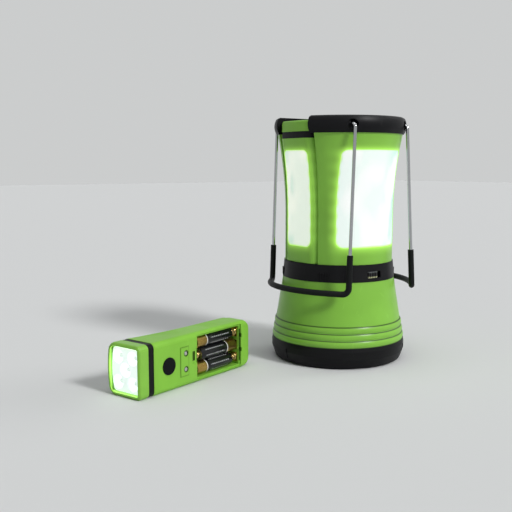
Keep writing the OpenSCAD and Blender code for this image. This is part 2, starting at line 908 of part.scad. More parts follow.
// Skin through the outlines at the heights us
module loft(us, outlines) {
    n = len(outlines[0]);
    last = len(us) - 1;
    points = [for (k = [0 : last], p = outlines[k]) [p[0], p[1], us[k]]];
    sides = [
        for (k = [0 : last - 1], i = [0 : n - 1])
            let (a = k * n + i, b = k * n + (i + 1) % n)
            each [[a, a + n, b + n], [a, b + n, b]]
    ];
    polyhedron(points, concat([[for (i = [0 : n - 1]) i]], sides,
        [[for (i = [n - 1 : -1 : 0]) last * n + i]]));
}

module torch_form(inset) {
    us = concat(tail_us(), body_us(band_u));
    loft(us, [for (u = us) torch_outline(u, inset)]);
}

module torch_collar(inset, from, to) {
    translate([0, 0, from])
        linear_extrude(to - from) polygon(torch_outline(band_u, inset));
}

bay_hw = aaa_pitch + aaa_d / 2 + 0.3;
bay_depth = aaa_d + cover_t + 0.8;
cell_x = cover_t + 0.4 + aaa_d / 2;
ledge = 1.4;
plate_w = 22;
plate_t = 0.4;
plate_ahead = 5.8;
plate_behind = 2.8;

// Latch of the battery cover: a shallow recess at the bay's edge with a slot in it,
// and two hook slots at the other end, all set a little to one side
latch_y = -2;
latch_w = 11.6;
latch_l = 7.6;
latch_deep = 0.8;
slot_w = 7.5;
slot_l = 2.8;
slot_deep = 1.8;
slot_gap = 3;
hook_pitch = 12;
hook_w = 3.6;

module torch_shell() {
    pocket_y = 60;
    color(GREEN)
    difference() {
        union() {
            torch_form(0);
            torch_collar(neck_inset, band_u - eps, neck_u);
            translate([-plate_t, -plate_w / 2, stud_up - plate_behind])
                cube([plate_t + 1, plate_w, plate_ahead + plate_behind]);
        }
        // battery bay and the ledge of its cover
        translate([-5, -bay_hw, bay_up]) cube([5 + bay_depth, 2 * bay_hw, bay_l]);
        translate([-5, -bay_hw - ledge, bay_up - ledge])
            cube([5 + cover_t, 2 * (bay_hw + ledge), bay_l + 2 * ledge]);
        translate([-5, latch_y - latch_w / 2, bay_up + bay_l - eps])
            cube([5 + latch_deep, latch_w, latch_l]);
        translate([-5, latch_y - slot_w / 2, bay_up + bay_l + slot_gap])
            cube([5 + slot_deep, slot_w, slot_l]);
        for (s = [-1, 1])
            translate([-5, latch_y + s * hook_pitch / 2 - hook_w / 2, bay_up - ledge - 1])
                cube([5 + cover_t + slot_deep, hook_w, 1.8]);
        // room for the lamps behind the side window, and for the switch
        intersection() {
            torch_form(skin);
            union() {
                translate([bay_depth + 2, -pocket_y / 2, window_u - 8])
                    cube([pocket_y, pocket_y, bulkhead_u - window_u + 8]);
                translate([0, -pocket_y / 2, bay_up + bay_l + 4])
                    cube([bay_depth, pocket_y, bulkhead_u - bay_up - bay_l - 4]);
            }
        }
        translate([bay_depth + 4, 0, window_u])
            rotate([0, 0, 90])
                window_prism(side_window_w, window_h, window_corner, -pocket_y, 0);
        torch_collar(neck_inset + 1.6, bulkhead_u + 2.4, torch_l);
        button_bore();
        for (s = [-1, 1])
            translate([-5, s * stud_pitch / 2, stud_up])
                rotate([0, 90, 0]) cylinder(d = stud_d + 0.04, h = 10, $fn = small);
    }
}

module button_bore() {
    translate([-5, 0, button_up])
        rotate([0, 90, 0]) cylinder(d = button_d + 2 * run_gap, h = 10, $fn = small);
}

module torch_bezel() {
    front = 1.6;
    us = [bezel_u, torch_l - front, torch_l - front * 0.4, torch_l];
    insets = [0, 0, front * 0.3, front];
    color(GREEN)
    difference() {
        loft(us, [for (k = [0 : 3]) torch_outline(torch_l, insets[k])]);
        torch_collar(neck_inset - 0.1, bezel_u - 1, torch_l - lip_t);
        torch_collar(neck_inset + lip_w, bezel_u, torch_l + 1);
    }
}

module torch_band() {
    color(BLACK)
    difference() {
        torch_collar(0.3, band_u, bezel_u);
        torch_collar(neck_inset - 0.1, band_u - 1, bezel_u + 1);
    }
}

module torch_lens() {
    color(WHITE) torch_collar(neck_inset + 0.1, torch_l - lip_t - lens_t, torch_l - lip_t);
}

cup_n = [[-1, -1], [-1, 1], [0, 0], [1, -1], [1, 1]];
cup_dx = 7.6;
cup_dy = 9.6;
cup_r = 5.6;
reflector_h = 9;
reflector_u = neck_u - reflector_h;
head_x = torch_depth(band_u) / 2;

module torch_cups() {
    for (c = cup_n)
        translate([head_x + c[0] * cup_dx, c[1] * cup_dy, 0]) children();
}

module torch_reflector() {
    color(WHITE)
    difference() {
        torch_collar(neck_inset + 1.8, reflector_u, neck_u);
        torch_cups()
            translate([0, 0, reflector_u - 0.5])
                cylinder(r1 = led_d / 2 + 0.3, r2 = cup_r, h = reflector_h + 1, $fn = small);
    }
}

module torch_head_leds() {
    color(BOARD) torch_collar(neck_inset + 1.8, reflector_u - board_t, reflector_u);
    color(WHITE)
    torch_cups() {
        translate([0, 0, reflector_u]) cylinder(d = led_d, h = 4, $fn = small);
        translate([0, 0, reflector_u + 4]) sphere(d = led_d, $fn = small);
    }
}

// Diffuser of the side window, flush with the outer face
module torch_window() {
    color(WHITE)
    intersection() {
        difference() {
            torch_form(0.15);
            translate([-diffuser_t, 0, 0]) torch_form(0.15);
        }
        translate([bay_depth + 4, 0, window_u + fit_gap / 2])
            rotate([0, 0, 90])
                window_prism(side_window_w - fit_gap, window_h - fit_gap, window_corner,
                    -60, 0);
    }
}

// Strip of lamps behind the side window
module torch_side_leds() {
    strip_w = 12;
    count = 9;
    x0 = bay_depth + 2;
    pitch = (window_h - 12) / (count - 1);
    color(BOARD)
    translate([x0, -strip_w / 2, window_u]) cube([board_t, strip_w, window_h]);
    color(WHITE)
    for (i = [0 : count - 1])
        translate([x0 + board_t, 0, window_u + 6 + i * pitch])
            rotate([0, 90, 0]) {
                cylinder(d = 4, h = 1, $fn = small);
                translate([0, 0, 1]) sphere(d = 4, $fn = small);
            }
}

module torch_studs() {
    color(CHROME)
    for (s = [-1, 1])
        translate([-plate_t - 0.1, s * stud_pitch / 2, stud_up])
            rotate([0, 90, 0]) {
                cylinder(d = stud_d, h = skin + 2, $fn = small);
                translate([0, 0, skin + plate_t + 0.1]) cylinder(d = stud_d + 2, h = 1, $fn = small);
            }
}

module torch_button() {
    flange = 1.2;
    color(BLACK)
    translate([-0.6, 0, button_up])
        rotate([0, 90, 0]) {
            cylinder(d = button_d, h = skin + 1.8, $fn = fine);
            translate([0, 0, skin + 0.7]) cylinder(r = button_d / 2 + flange, h = 1.2, $fn = fine);
        }
}

nub_d = 3.8;
nub_h = 1;
plate = 0.6;
module aaa_cell() {
    color(BRASS) {
        cylinder(d = aaa_d, h = aaa_l - nub_h, $fn = fine);
        translate([0, 0, aaa_l - nub_h]) cylinder(d = nub_d, h = nub_h, $fn = small);
    }
}

// Three cells side by side, the middle one the other way up
module torch_cells() {
    for (i = [-1 : 1]) {
        up = i != 0;
        translate([cell_x, i * aaa_pitch, up ? bay_up + bay_l - plate : bay_up + plate])
            mirror([0, 0, up ? 1 : 0])
                translate([0, 0, aaa_l])
                    mirror([0, 0, 1]) aaa_cell();
    }
}

// Conical coil spring standing on its wide end
coil_wire = 0.45;
coil_wide = 3.9;
coil_narrow = 2.2;
coil_turns = 4;
module coil_spring(h) {
    steps = 10;
    sides = 6;
    last = steps * coil_turns;
    rise = h - 2 * coil_wire;
    function ring_r(k) = coil_wide + (coil_narrow - coil_wide) * k / last;
    points = [
        for (k = [0 : last], i = [0 : sides - 1])
            let (
                turn = 360 * k / steps,
                a = 360 * i / sides,
                r = ring_r(k) + coil_wire * cos(a)
            ) [r * cos(turn), r * sin(turn), coil_wire + rise * k / last + coil_wire * sin(a)]
    ];
    skin_faces = [
        for (k = [0 : last - 1], i = [0 : sides - 1])
            let (a = k * sides + i, b = k * sides + (i + 1) % sides)
            each [[a, b, b + sides], [a, b + sides, a + sides]]
    ];
    polyhedron(points, concat([[for (i = [sides - 1 : -1 : 0]) i]], skin_faces,
        [[for (i = [0 : sides - 1]) last * sides + i]]));
}

// Contact plates, and the coil springs at the cells' flat ends
module torch_springs() {
    spring_l = bay_l - aaa_l - 2 * plate;
    color(BRASS)
    for (i = [-1 : 1]) {
        up = i != 0;
        translate([cell_x, i * aaa_pitch, up ? bay_up : bay_up + bay_l])
            mirror([0, 0, up ? 0 : 1]) {
                for (z = [0, bay_l - plate]) translate([-4, -4, z]) cube([8, 8, plate]);
                translate([0, 0, plate + 0.02]) coil_spring(spring_l - 0.06);
            }
    }
}

module torch_cover() {
    color(GREEN)
    intersection() {
        torch_form(0);
        union() {
            translate([0, -bay_hw - ledge + fit_gap, bay_up - ledge + fit_gap])
                cube([cover_t, 2 * (bay_hw + ledge - fit_gap), bay_l + 2 * (ledge - fit_gap)]);
            // latch tongue
            translate([0, latch_y - latch_w / 2 + fit_gap, bay_up + bay_l])
                cube([latch_deep - 0.1, latch_w - 2 * fit_gap, latch_l - fit_gap]);
        }
    }
}

// ---------------------------------------------------------------- placing the torches

// Where the loose torch lies: its tail, and its turn about the vertical
loose_x = -86;
loose_y = 13.8;
loose_turn = 16.9;

module docked() {
    rotate([0, 0, 180]) translate([dock_d, 0, torch_z]) children();
}
module loose() {
    translate([loose_x, loose_y, torch_hw]) rotate([-90, 0, 90 + loose_turn]) children();
}

module docked_shell() docked() torch_shell();
module docked_bezel() docked() torch_bezel();
module docked_band() docked() torch_band();
module docked_lens() docked() torch_lens();
module docked_reflector() docked() torch_reflector();
module docked_head_leds() docked() torch_head_leds();
module docked_window() docked() torch_window();
module docked_side_leds() docked() torch_side_leds();
module docked_studs() docked() torch_studs();
module docked_button() docked() torch_button();
module docked_cells() docked() torch_cells();
module docked_springs() docked() torch_springs();
module docked_cover() docked() torch_cover();
module loose_shell() loose() torch_shell();
module loose_bezel() loose() torch_bezel();
module loose_band() loose() torch_band();
module loose_lens() loose() torch_lens();
module loose_reflector() loose() torch_reflector();
module loose_head_leds() loose() torch_head_leds();
module loose_window() loose() torch_window();
module loose_side_leds() loose() torch_side_leds();
module loose_studs() loose() torch_studs();
module loose_button() loose() torch_button();
module loose_cells() loose() torch_cells();
module loose_springs() loose() torch_springs();

base_cover();
foot_pad();
base_seal();
cone_shell();
battery_tray();
d_cells();
tray_contacts();
waist_band();
mode_switch();
tower_shell();
window_front();
window_back();
reflector_front();
reflector_back();
led_board_front();
led_board_back();
driver_board();
dock_contacts();
top_cap();
cap_screws();
bail_wire_left();
bail_grip_left();
bail_wire_right();
bail_grip_right();
docked_shell();
docked_bezel();
docked_band();
docked_lens();
docked_reflector();
docked_head_leds();
docked_window();
docked_side_leds();
docked_studs();
docked_button();
docked_cells();
docked_springs();
docked_cover();
loose_shell();
loose_bezel();
loose_band();
loose_lens();
loose_reflector();
loose_head_leds();
loose_window();
loose_side_leds();
loose_studs();
loose_button();
loose_cells();
loose_springs();
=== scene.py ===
import math

import bmesh
import bpy
from bpy.props import FloatProperty, FloatVectorProperty, IntProperty, PointerProperty
from mathutils import Matrix, Vector


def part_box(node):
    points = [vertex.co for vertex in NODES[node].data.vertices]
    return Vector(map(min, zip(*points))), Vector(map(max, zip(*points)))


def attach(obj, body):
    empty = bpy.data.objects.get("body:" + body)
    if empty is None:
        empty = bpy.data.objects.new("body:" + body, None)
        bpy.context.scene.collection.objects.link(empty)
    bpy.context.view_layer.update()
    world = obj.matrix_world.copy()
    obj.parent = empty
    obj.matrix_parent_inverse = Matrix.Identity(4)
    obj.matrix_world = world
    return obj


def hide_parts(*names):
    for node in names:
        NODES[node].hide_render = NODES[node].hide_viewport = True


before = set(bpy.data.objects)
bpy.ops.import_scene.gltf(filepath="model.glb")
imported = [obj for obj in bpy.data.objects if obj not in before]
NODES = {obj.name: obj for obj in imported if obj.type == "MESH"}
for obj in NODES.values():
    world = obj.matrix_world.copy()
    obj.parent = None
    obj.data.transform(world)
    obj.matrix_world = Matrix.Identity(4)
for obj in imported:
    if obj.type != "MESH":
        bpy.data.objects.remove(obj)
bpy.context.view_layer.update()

bl_info = {
    "name": "Camping lantern",
    "version": (1, 0, 0),
    "blender": (4, 5, 0),
    "location": "View3D > Sidebar > Lantern",
    "description": "Finishes, battery cells, springs and stage of a camping lantern with two torches",
    "category": "Add Mesh",
}

# ------------------------------------------------------------------ sizes

MM = 0.001

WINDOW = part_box("window_front")
TORCH_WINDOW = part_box("docked_window")
RIB_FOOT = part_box("cone_shell")[0].z
BAND_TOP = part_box("waist_band")[1].z

# Ribs round the foot of the cone: their pitch, and how many pitches up the shaded row ends
RIB_PITCH = 5.7 * MM
RIB_ROW_END = 3.3

# Torch axes: x inwards from the flat face, y across, z from tail to lens
DOCK_DEPTH = 18 * MM
LOOSE_TURN = math.radians(106.9)
LOOSE_PLACE = (-86 * MM, 13.8 * MM)

# Lens, contact studs and their raised plate, in torch axes
HEAD_X = 17.39 * MM
LENS_HALF = (15.7 * MM, 18.3 * MM)
STUD_SPOT = (-0.5 * MM, 6.2 * MM, 80.5 * MM)
PLATE_MIDDLE = 82 * MM
PLATE_HALF = (11 * MM, 4.3 * MM)

# Battery bay and its end plates, in torch axes
CELL_X = 7.25 * MM
CELL_PITCH = 10.8 * MM
BAY_LOW = 14.2 * MM
BAY_HIGH = 66.2 * MM
END_PLATE = 0.6 * MM


def docked_matrix():
    """Torch axes to frame for the docked torch."""
    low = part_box("docked_shell")[0].z
    return Matrix.Rotation(math.pi, 4, "Z") @ Matrix.Translation((DOCK_DEPTH, 0, low))


def loose_matrix():
    """Torch axes to frame for the torch that lies on its side."""
    turn = Matrix.Rotation(LOOSE_TURN, 4, "Z") @ Matrix.Rotation(-math.pi / 2, 4, "X")
    low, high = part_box("loose_shell")
    return Matrix.Translation((*LOOSE_PLACE, (low.z + high.z) / 2)) @ turn


TORCH = {"docked": docked_matrix(), "loose": loose_matrix()}


# ------------------------------------------------------------------ settings a user would change

class LanternFinish(bpy.types.PropertyGroup):
    """Colours and light of the lantern."""

    green: FloatVectorProperty(
        name="Green", description="Colour of the green plastic", subtype="COLOR",
        default=(0.235, 0.53, 0.060), min=0, max=1)
    black: FloatVectorProperty(
        name="Black", description="Colour of the black plastic", subtype="COLOR",
        default=(0.0045, 0.0045, 0.0055), min=0, max=1)
    glow: FloatProperty(
        name="Glow", description="Brightness of the lit windows", default=1.0, min=0, max=4)
    halo: FloatProperty(
        name="Halo", description="Width of the light that leaks into the green plastic",
        subtype="DISTANCE", default=2.1 * MM, min=0.5 * MM, max=8 * MM)


class LanternCells(bpy.types.PropertyGroup):
    """Sizes of the small cells and their springs."""

    cell_diameter: FloatProperty(
        name="Cell diameter", description="Diameter of an AAA cell",
        subtype="DISTANCE", default=10.5 * MM)
    cell_length: FloatProperty(
        name="Cell length", description="Length of an AAA cell with its nub",
        subtype="DISTANCE", default=44.5 * MM)
    gold_length: FloatProperty(
        name="Gold end", description="Length of the gold end of the sleeve",
        subtype="DISTANCE", default=12.5 * MM)
    coil_turns: IntProperty(
        name="Spring turns", description="Turns of a contact spring", default=4, min=2, max=9)


# ------------------------------------------------------------------ shader helpers

def add(tree, kind, inputs=None, **props):
    """A new node with its properties set and its inputs filled or linked."""
    made = tree.nodes.new(kind)
    for name, value in props.items():
        setattr(made, name, value)
    for name, value in (inputs or {}).items():
        if isinstance(value, bpy.types.NodeSocket):
            tree.links.new(value, made.inputs[name])
        else:
            made.inputs[name].default_value = value
    return made


def calc(tree, operation, *values):
    """Result of a Math node."""
    return add(tree, "ShaderNodeMath", dict(enumerate(values)), operation=operation).outputs[0]


def ramp(tree, value, low, high, to_low=0.0, to_high=1.0):
    """value taken smoothly from low..high to to_low..to_high."""
    return add(tree, "ShaderNodeMapRange", {
        "Value": value, "From Min": low, "From Max": high, "To Min": to_low, "To Max": to_high,
    }, interpolation_type="SMOOTHSTEP").outputs["Result"]


def blend(tree, factor, a, b):
    """Colour between a and b."""
    mix = add(tree, "ShaderNodeMix", data_type="RGBA")
    for socket, value in ((mix.inputs["Factor"], factor), (mix.inputs[6], a), (mix.inputs[7], b)):
        if isinstance(value, bpy.types.NodeSocket):
            tree.links.new(value, socket)
        else:
            socket.default_value = value
    return mix.outputs[2]


def rgba(color):
    return (*color, 1.0)


def axes(tree, vector):
    return add(tree, "ShaderNodeSeparateXYZ", {"Vector": vector}).outputs


def group(name, inputs, outputs):
    """A shader node group with inputs (name, socket type, default) and named float outputs."""
    tree = bpy.data.node_groups.new(name, "ShaderNodeTree")
    for title, kind, default in inputs:
        socket = tree.interface.new_socket(title, in_out="INPUT", socket_type=kind)
        if default is not None:
            socket.default_value = default
    for title in outputs:
        tree.interface.new_socket(title, in_out="OUTPUT", socket_type="NodeSocketFloat")
    return tree, tree.nodes.new("NodeGroupInput"), tree.nodes.new("NodeGroupOutput")


def grain_group():
    """Fine texture of a moulded surface, with the slow mottle of the moulding in it."""
    tree, given, out = group("Moulded_Grain", [
        ("Vector", "NodeSocketVector", None), ("Scale", "NodeSocketFloat", 1400.0),
    ], ["Height", "Mottle"])
    fine = add(tree, "ShaderNodeTexNoise", {
        "Vector": given.outputs["Vector"], "Scale": given.outputs["Scale"],
        "Detail": 3.0, "Roughness": 0.55})
    slow = add(tree, "ShaderNodeTexNoise", {
        "Vector": given.outputs["Vector"], "Scale": 38.0, "Detail": 2.0})
    tree.links.new(fine.outputs["Fac"], out.inputs["Height"])
    tree.links.new(ramp(tree, slow.outputs["Fac"], 0.3, 0.7), out.inputs["Mottle"])
    return tree


def handling_group():
    """Smudges from handling and hairline scratches."""
    tree, given, out = group("Handling", [
        ("Vector", "NodeSocketVector", None), ("Scratch_Scale", "NodeSocketFloat", 60.0),
    ], ["Smudge", "Scratch"])
    smear = add(tree, "ShaderNodeTexNoise", {
        "Vector": given.outputs["Vector"], "Scale": 21.0, "Detail": 5.0, "Distortion": 0.6})
    tree.links.new(ramp(tree, smear.outputs["Fac"], 0.42, 0.68), out.inputs["Smudge"])
    stretched = add(tree, "ShaderNodeMapping", {
        "Vector": given.outputs["Vector"], "Rotation": (0.3, 0.5, 0.2), "Scale": (1, 14, 1)})
    lines = add(tree, "ShaderNodeTexNoise", {
        "Vector": stretched.outputs["Vector"], "Scale": given.outputs["Scratch_Scale"],
        "Detail": 4.0})
    tree.links.new(ramp(tree, lines.outputs["Fac"], 0.66, 0.72), out.inputs["Scratch"])
    return tree


def window_group():
    """How far a point lies inside (+) or outside (-) a rounded window, and the light round it."""
    tree, given, out = group("Window_Glow", [
        ("Across", "NodeSocketFloat", 0.0), ("Up", "NodeSocketFloat", 0.0),
        ("Half_Width", "NodeSocketFloat", 0.033), ("Half_Height", "NodeSocketFloat", 0.04),
        ("Corner", "NodeSocketFloat", 0.005), ("Lamp_Pitch", "NodeSocketFloat", 0.0118),
        ("Halo_Width", "NodeSocketFloat", 0.003),
    ], ["Inside", "Halo"])
    g = given.outputs
    over_x = calc(tree, "ADD", calc(tree, "SUBTRACT", calc(tree, "ABSOLUTE", g["Across"]),
                                    g["Half_Width"]), g["Corner"])
    over_z = calc(tree, "ADD", calc(tree, "SUBTRACT", calc(tree, "ABSOLUTE", g["Up"]),
                                    g["Half_Height"]), g["Corner"])
    out_x = calc(tree, "MAXIMUM", over_x, 0.0)
    out_z = calc(tree, "MAXIMUM", over_z, 0.0)
    far = calc(tree, "SQRT", calc(tree, "ADD", calc(tree, "MULTIPLY", out_x, out_x),
                                  calc(tree, "MULTIPLY", out_z, out_z)))
    near = calc(tree, "MINIMUM", calc(tree, "MAXIMUM", over_x, over_z), 0.0)
    inside = calc(tree, "SUBTRACT", g["Corner"], calc(tree, "ADD", far, near))
    wave = calc(tree, "SINE", calc(tree, "DIVIDE", calc(tree, "MULTIPLY", g["Up"], 2 * math.pi),
                                   g["Lamp_Pitch"]))
    width = calc(tree, "MULTIPLY", g["Halo_Width"], calc(tree, "MULTIPLY_ADD", wave, 0.16, 1.0))
    fall = calc(tree, "DIVIDE", calc(tree, "MINIMUM", inside, 0.0), width)
    tree.links.new(inside, out.inputs["Inside"])
    tree.links.new(calc(tree, "EXPONENT", fall), out.inputs["Halo"])
    return tree


GROUPS = {}


def shared(tree, name, inputs):
    """One of the shared groups, placed in a material."""
    if name not in GROUPS:
        GROUPS[name] = {"Moulded_Grain": grain_group, "Handling": handling_group,
                        "Window_Glow": window_group}[name]()
    return add(tree, "ShaderNodeGroup", inputs, node_tree=GROUPS[name]).outputs


def material(name, color, roughness, metallic=0.0, **sockets):
    """A material with a Principled BSDF; returns it, its tree, its shader and Object coordinates."""
    made = bpy.data.materials.new(name)
    made.use_nodes = True
    tree = made.node_tree
    shader = tree.nodes["Principled BSDF"]
    shader.inputs["Base Color"].default_value = rgba(color)
    shader.inputs["Roughness"].default_value = roughness
    shader.inputs["Metallic"].default_value = metallic
    for title, value in sockets.items():
        shader.inputs[title.replace("_", " ")].default_value = value
    made.diffuse_color = rgba(color)
    place = add(tree, "ShaderNodeTexCoord").outputs["Object"]
    return made, tree, shader, place


def bumped(tree, shader, height, strength, distance):
    """Gives the shader a surface that rises and falls with a height."""
    bump = add(tree, "ShaderNodeBump", {
        "Height": height, "Strength": strength, "Distance": distance})
    tree.links.new(bump.outputs["Normal"], shader.inputs["Normal"])


def shine(tree, shader, color, strength):
    """Gives the shader a light of its own."""
    tree.links.new(color, shader.inputs["Emission Color"])
    shader.inputs["Emission Strength"].default_value = strength


def finish():
    """Colours and light as the panel has them."""
    return bpy.context.scene.lantern_finish


def moulded(name, color, roughness, grain=0.02, scale=1400.0, lift=1.035, **sockets):
    """Moulded plastic or rubber: grain in the bump, mottle in the colour, smudges in the gloss."""
    made, tree, shader, place = material(name, color, roughness, **sockets)
    texture = shared(tree, "Moulded_Grain", {"Vector": place, "Scale": scale})
    wear = shared(tree, "Handling", {"Vector": place})
    light = tuple(min(1.0, c * lift) for c in color)
    dark = tuple(c * (2 - lift) for c in color)
    base = blend(tree, texture["Mottle"], rgba(dark), rgba(light))
    scuffed = tuple(min(1.0, c * 1.25 + 0.02) for c in color)
    base = blend(tree, calc(tree, "MULTIPLY", wear["Scratch"], 0.25), base, rgba(scuffed))
    tree.links.new(base, shader.inputs["Base Color"])
    tree.links.new(calc(tree, "MULTIPLY_ADD", wear["Smudge"], 0.14, roughness),
                   shader.inputs["Roughness"])
    bumped(tree, shader, texture["Height"], grain * 10, 0.06 * MM)
    return made, tree, shader, place


# ------------------------------------------------------------------ materials

# The lamps' light in the lens seat, round the windows, in the lens's rim and at window edges
SEAT_COLOR = (0.26, 0.50, 0.06)
HALO_COLOR = (0.34, 0.66, 0.09)
RIM_COLOR = (0.30, 0.55, 0.14)
EDGE_COLOR = (0.50, 0.86, 0.13)

# Painted shade behind the waist band, in the cone's grooves and in the torch's slots
BAND_SHADE = (0.004, 0.006, 0.003)
GROOVE_SHADE = (0.022, 0.060, 0.008)
SLOT_SHADE = (0.010, 0.030, 0.004)

FROST = (0.42, 0.46, 0.43)
GREEN_ROUGH = 0.31
GREEN_GLOSS = 0.35
DULL_GREEN_GLOSS = 0.12
BLACK_GLOSS = 0.16

LAMP_PITCH = 11.8 * MM
WINDOW_LIP = 2.6 * MM
WINDOW_CORNER = 5 * MM

# Where the tower's outside begins along Y, and the docked torch's along X
TOWER_SKIN = (26 * MM, 30 * MM)
TORCH_SKIN = (-40 * MM, -36 * MM)


def glow_on(tree, shader, across, up, half_w, half_h, mask, strength):
    """Light that leaks through the plastic round a window."""
    glow = shared(tree, "Window_Glow", {
        "Across": across, "Up": up, "Half_Width": half_w, "Half_Height": half_h,
        "Corner": WINDOW_CORNER, "Lamp_Pitch": LAMP_PITCH, "Halo_Width": finish().halo})
    amount = calc(tree, "MULTIPLY", calc(tree, "MULTIPLY", glow["Halo"], mask),
                  strength * finish().glow)
    shine(tree, shader, blend(tree, amount, (0, 0, 0, 1), rgba(HALO_COLOR)), 1.0)


def darkened(tree, shader, mask, color):
    """Lays a dark colour over the shader's base where the mask is 1."""
    under = shader.inputs["Base Color"].links[0].from_socket
    tree.links.new(blend(tree, mask, under, rgba(color)), shader.inputs["Base Color"])


def window_shape(box, across_axis):
    """Half width, half height and middle height of a window from its diffuser's box."""
    low, high = box
    return ((high[across_axis] - low[across_axis]) / 2, (high.z - low.z) / 2,
            (high.z + low.z) / 2)


def torch_axes(tree, which, place):
    """Separated torch axes of a point given in the frame."""
    matrix = TORCH[which]
    return axes(tree, add(tree, "ShaderNodeMapping", {
        "Vector": place, "Location": matrix.translation, "Rotation": matrix.to_euler(),
    }, vector_type="TEXTURE").outputs["Vector"])


def green(name, gloss=GREEN_GLOSS):
    """Green plastic; returns what moulded() does."""
    return moulded(name, finish().green, GREEN_ROUGH, Specular_IOR_Level=gloss)


def green_tower():
    """Green plastic of the tower, lit round the two big windows, with painted shade behind the waist
    band.
    """
    made, tree, shader, place = green("green_tower")
    xyz = axes(tree, place)
    half_w, half_h, mid = window_shape(WINDOW, 0)
    outer = ramp(tree, calc(tree, "ABSOLUTE", xyz["Y"]), *TOWER_SKIN)
    glow_on(tree, shader, xyz["X"], calc(tree, "SUBTRACT", xyz["Z"], mid),
            half_w - WINDOW_LIP, half_h - WINDOW_LIP, outer, 0.9)
    darkened(tree, shader, ramp(tree, xyz["Z"], BAND_TOP - 0.5 * MM, BAND_TOP, 1.0, 0.0),
             BAND_SHADE)
    return made


def green_cone():
    """Green plastic of the battery housing, with painted shade in the grooves between its ribs."""
    made, tree, shader, place = green("green_cone")
    up = axes(tree, place)["Z"]
    ribs = calc(tree, "DIVIDE", calc(tree, "SUBTRACT", up, RIB_FOOT), RIB_PITCH)
    groove = ramp(tree, calc(tree, "PINGPONG", ribs, 0.5), 0.03, 0.13, 0.85, 0.0)
    low = ramp(tree, ribs, RIB_ROW_END, RIB_ROW_END + 0.1, 1.0, 0.0)
    darkened(tree, shader, calc(tree, "MULTIPLY", groove, low), GROOVE_SHADE)
    return made


def plate_and_studs(tree, at, aside):
    """Mask of painted shade along the step round a torch's contact plate and in rings round its
    studs.
    """
    past_side = calc(tree, "SUBTRACT", aside, PLATE_HALF[0])
    past_end = calc(tree, "SUBTRACT", calc(tree, "ABSOLUTE", calc(
        tree, "SUBTRACT", at["Z"], PLATE_MIDDLE)), PLATE_HALF[1])
    past = calc(tree, "MAXIMUM", past_side, past_end)
    # painted shade along the step at the plate's edge
    seam_shade = ramp(tree, calc(tree, "ABSOLUTE", calc(tree, "SUBTRACT", past, 0.3 * MM)),
                0.15 * MM, 0.7 * MM, 0.42, 0.0)
    _, stud_y, stud_z = STUD_SPOT
    off_y = calc(tree, "SUBTRACT", aside, stud_y)
    off_z = calc(tree, "SUBTRACT", at["Z"], stud_z)
    away = calc(tree, "SQRT", calc(tree, "ADD", calc(tree, "POWER", off_y, 2.0),
                                   calc(tree, "POWER", off_z, 2.0)))
    # painted shade in a ring round each stud
    ring = ramp(tree, away, 2.1 * MM, 2.9 * MM, 0.85, 0.0)
    flat = ramp(tree, at["X"], 0.8 * MM, 1.2 * MM, 1.0, 0.0)
    return calc(tree, "MULTIPLY", calc(tree, "MAXIMUM", seam_shade, ring), flat)


def cover_slots(tree, at, aside):
    """Mask of painted shade inside the latch slot and the two hook slots of a battery cover."""
    ends = calc(tree, "MAXIMUM", ramp(tree, at["Z"], BAY_HIGH, BAY_HIGH + 0.4 * MM),
                ramp(tree, at["Z"], BAY_LOW - 0.4 * MM, BAY_LOW, 1.0, 0.0))
    deep = calc(tree, "MULTIPLY", ramp(tree, at["X"], 0.85 * MM, 1.1 * MM),
                ramp(tree, at["X"], 7 * MM, 8 * MM, 1.0, 0.0))
    return calc(tree, "MULTIPLY", calc(tree, "MULTIPLY", ends, deep),
                ramp(tree, aside, 13 * MM, 14 * MM, 0.85, 0.0))


def green_loose():
    """Green plastic of the loose torch, with painted shade round its plate and studs and in its
    slots.
    """
    made, tree, shader, place = green("green_loose", DULL_GREEN_GLOSS)
    at = torch_axes(tree, "loose", place)
    aside = calc(tree, "ABSOLUTE", at["Y"])
    shaded = calc(tree, "MAXIMUM", plate_and_studs(tree, at, aside),
                  cover_slots(tree, at, aside))
    darkened(tree, shader, shaded, SLOT_SHADE)
    return made


def green_docked():
    """Green plastic of the docked torch, lit round its side window."""
    made, tree, shader, place = green("green_docked")
    xyz = axes(tree, place)
    half_w, half_h, mid = window_shape(TORCH_WINDOW, 1)
    outer = ramp(tree, xyz["X"], *TORCH_SKIN, 1.0, 0.0)
    glow_on(tree, shader, xyz["Y"], calc(tree, "SUBTRACT", xyz["Z"], mid),
            half_w, half_h, outer, 0.6)
    return made


def rim_lit():
    """Green plastic of the lit torch's lens seat, with the lamp's light in it."""
    made, tree, shader, place = green("rim_lit")
    spots = shared(tree, "Moulded_Grain", {"Vector": place, "Scale": 160.0})
    shine(tree, shader, blend(tree, spots["Mottle"], rgba(SEAT_COLOR), rgba(EDGE_COLOR)),
          0.75 * finish().glow)
    return made


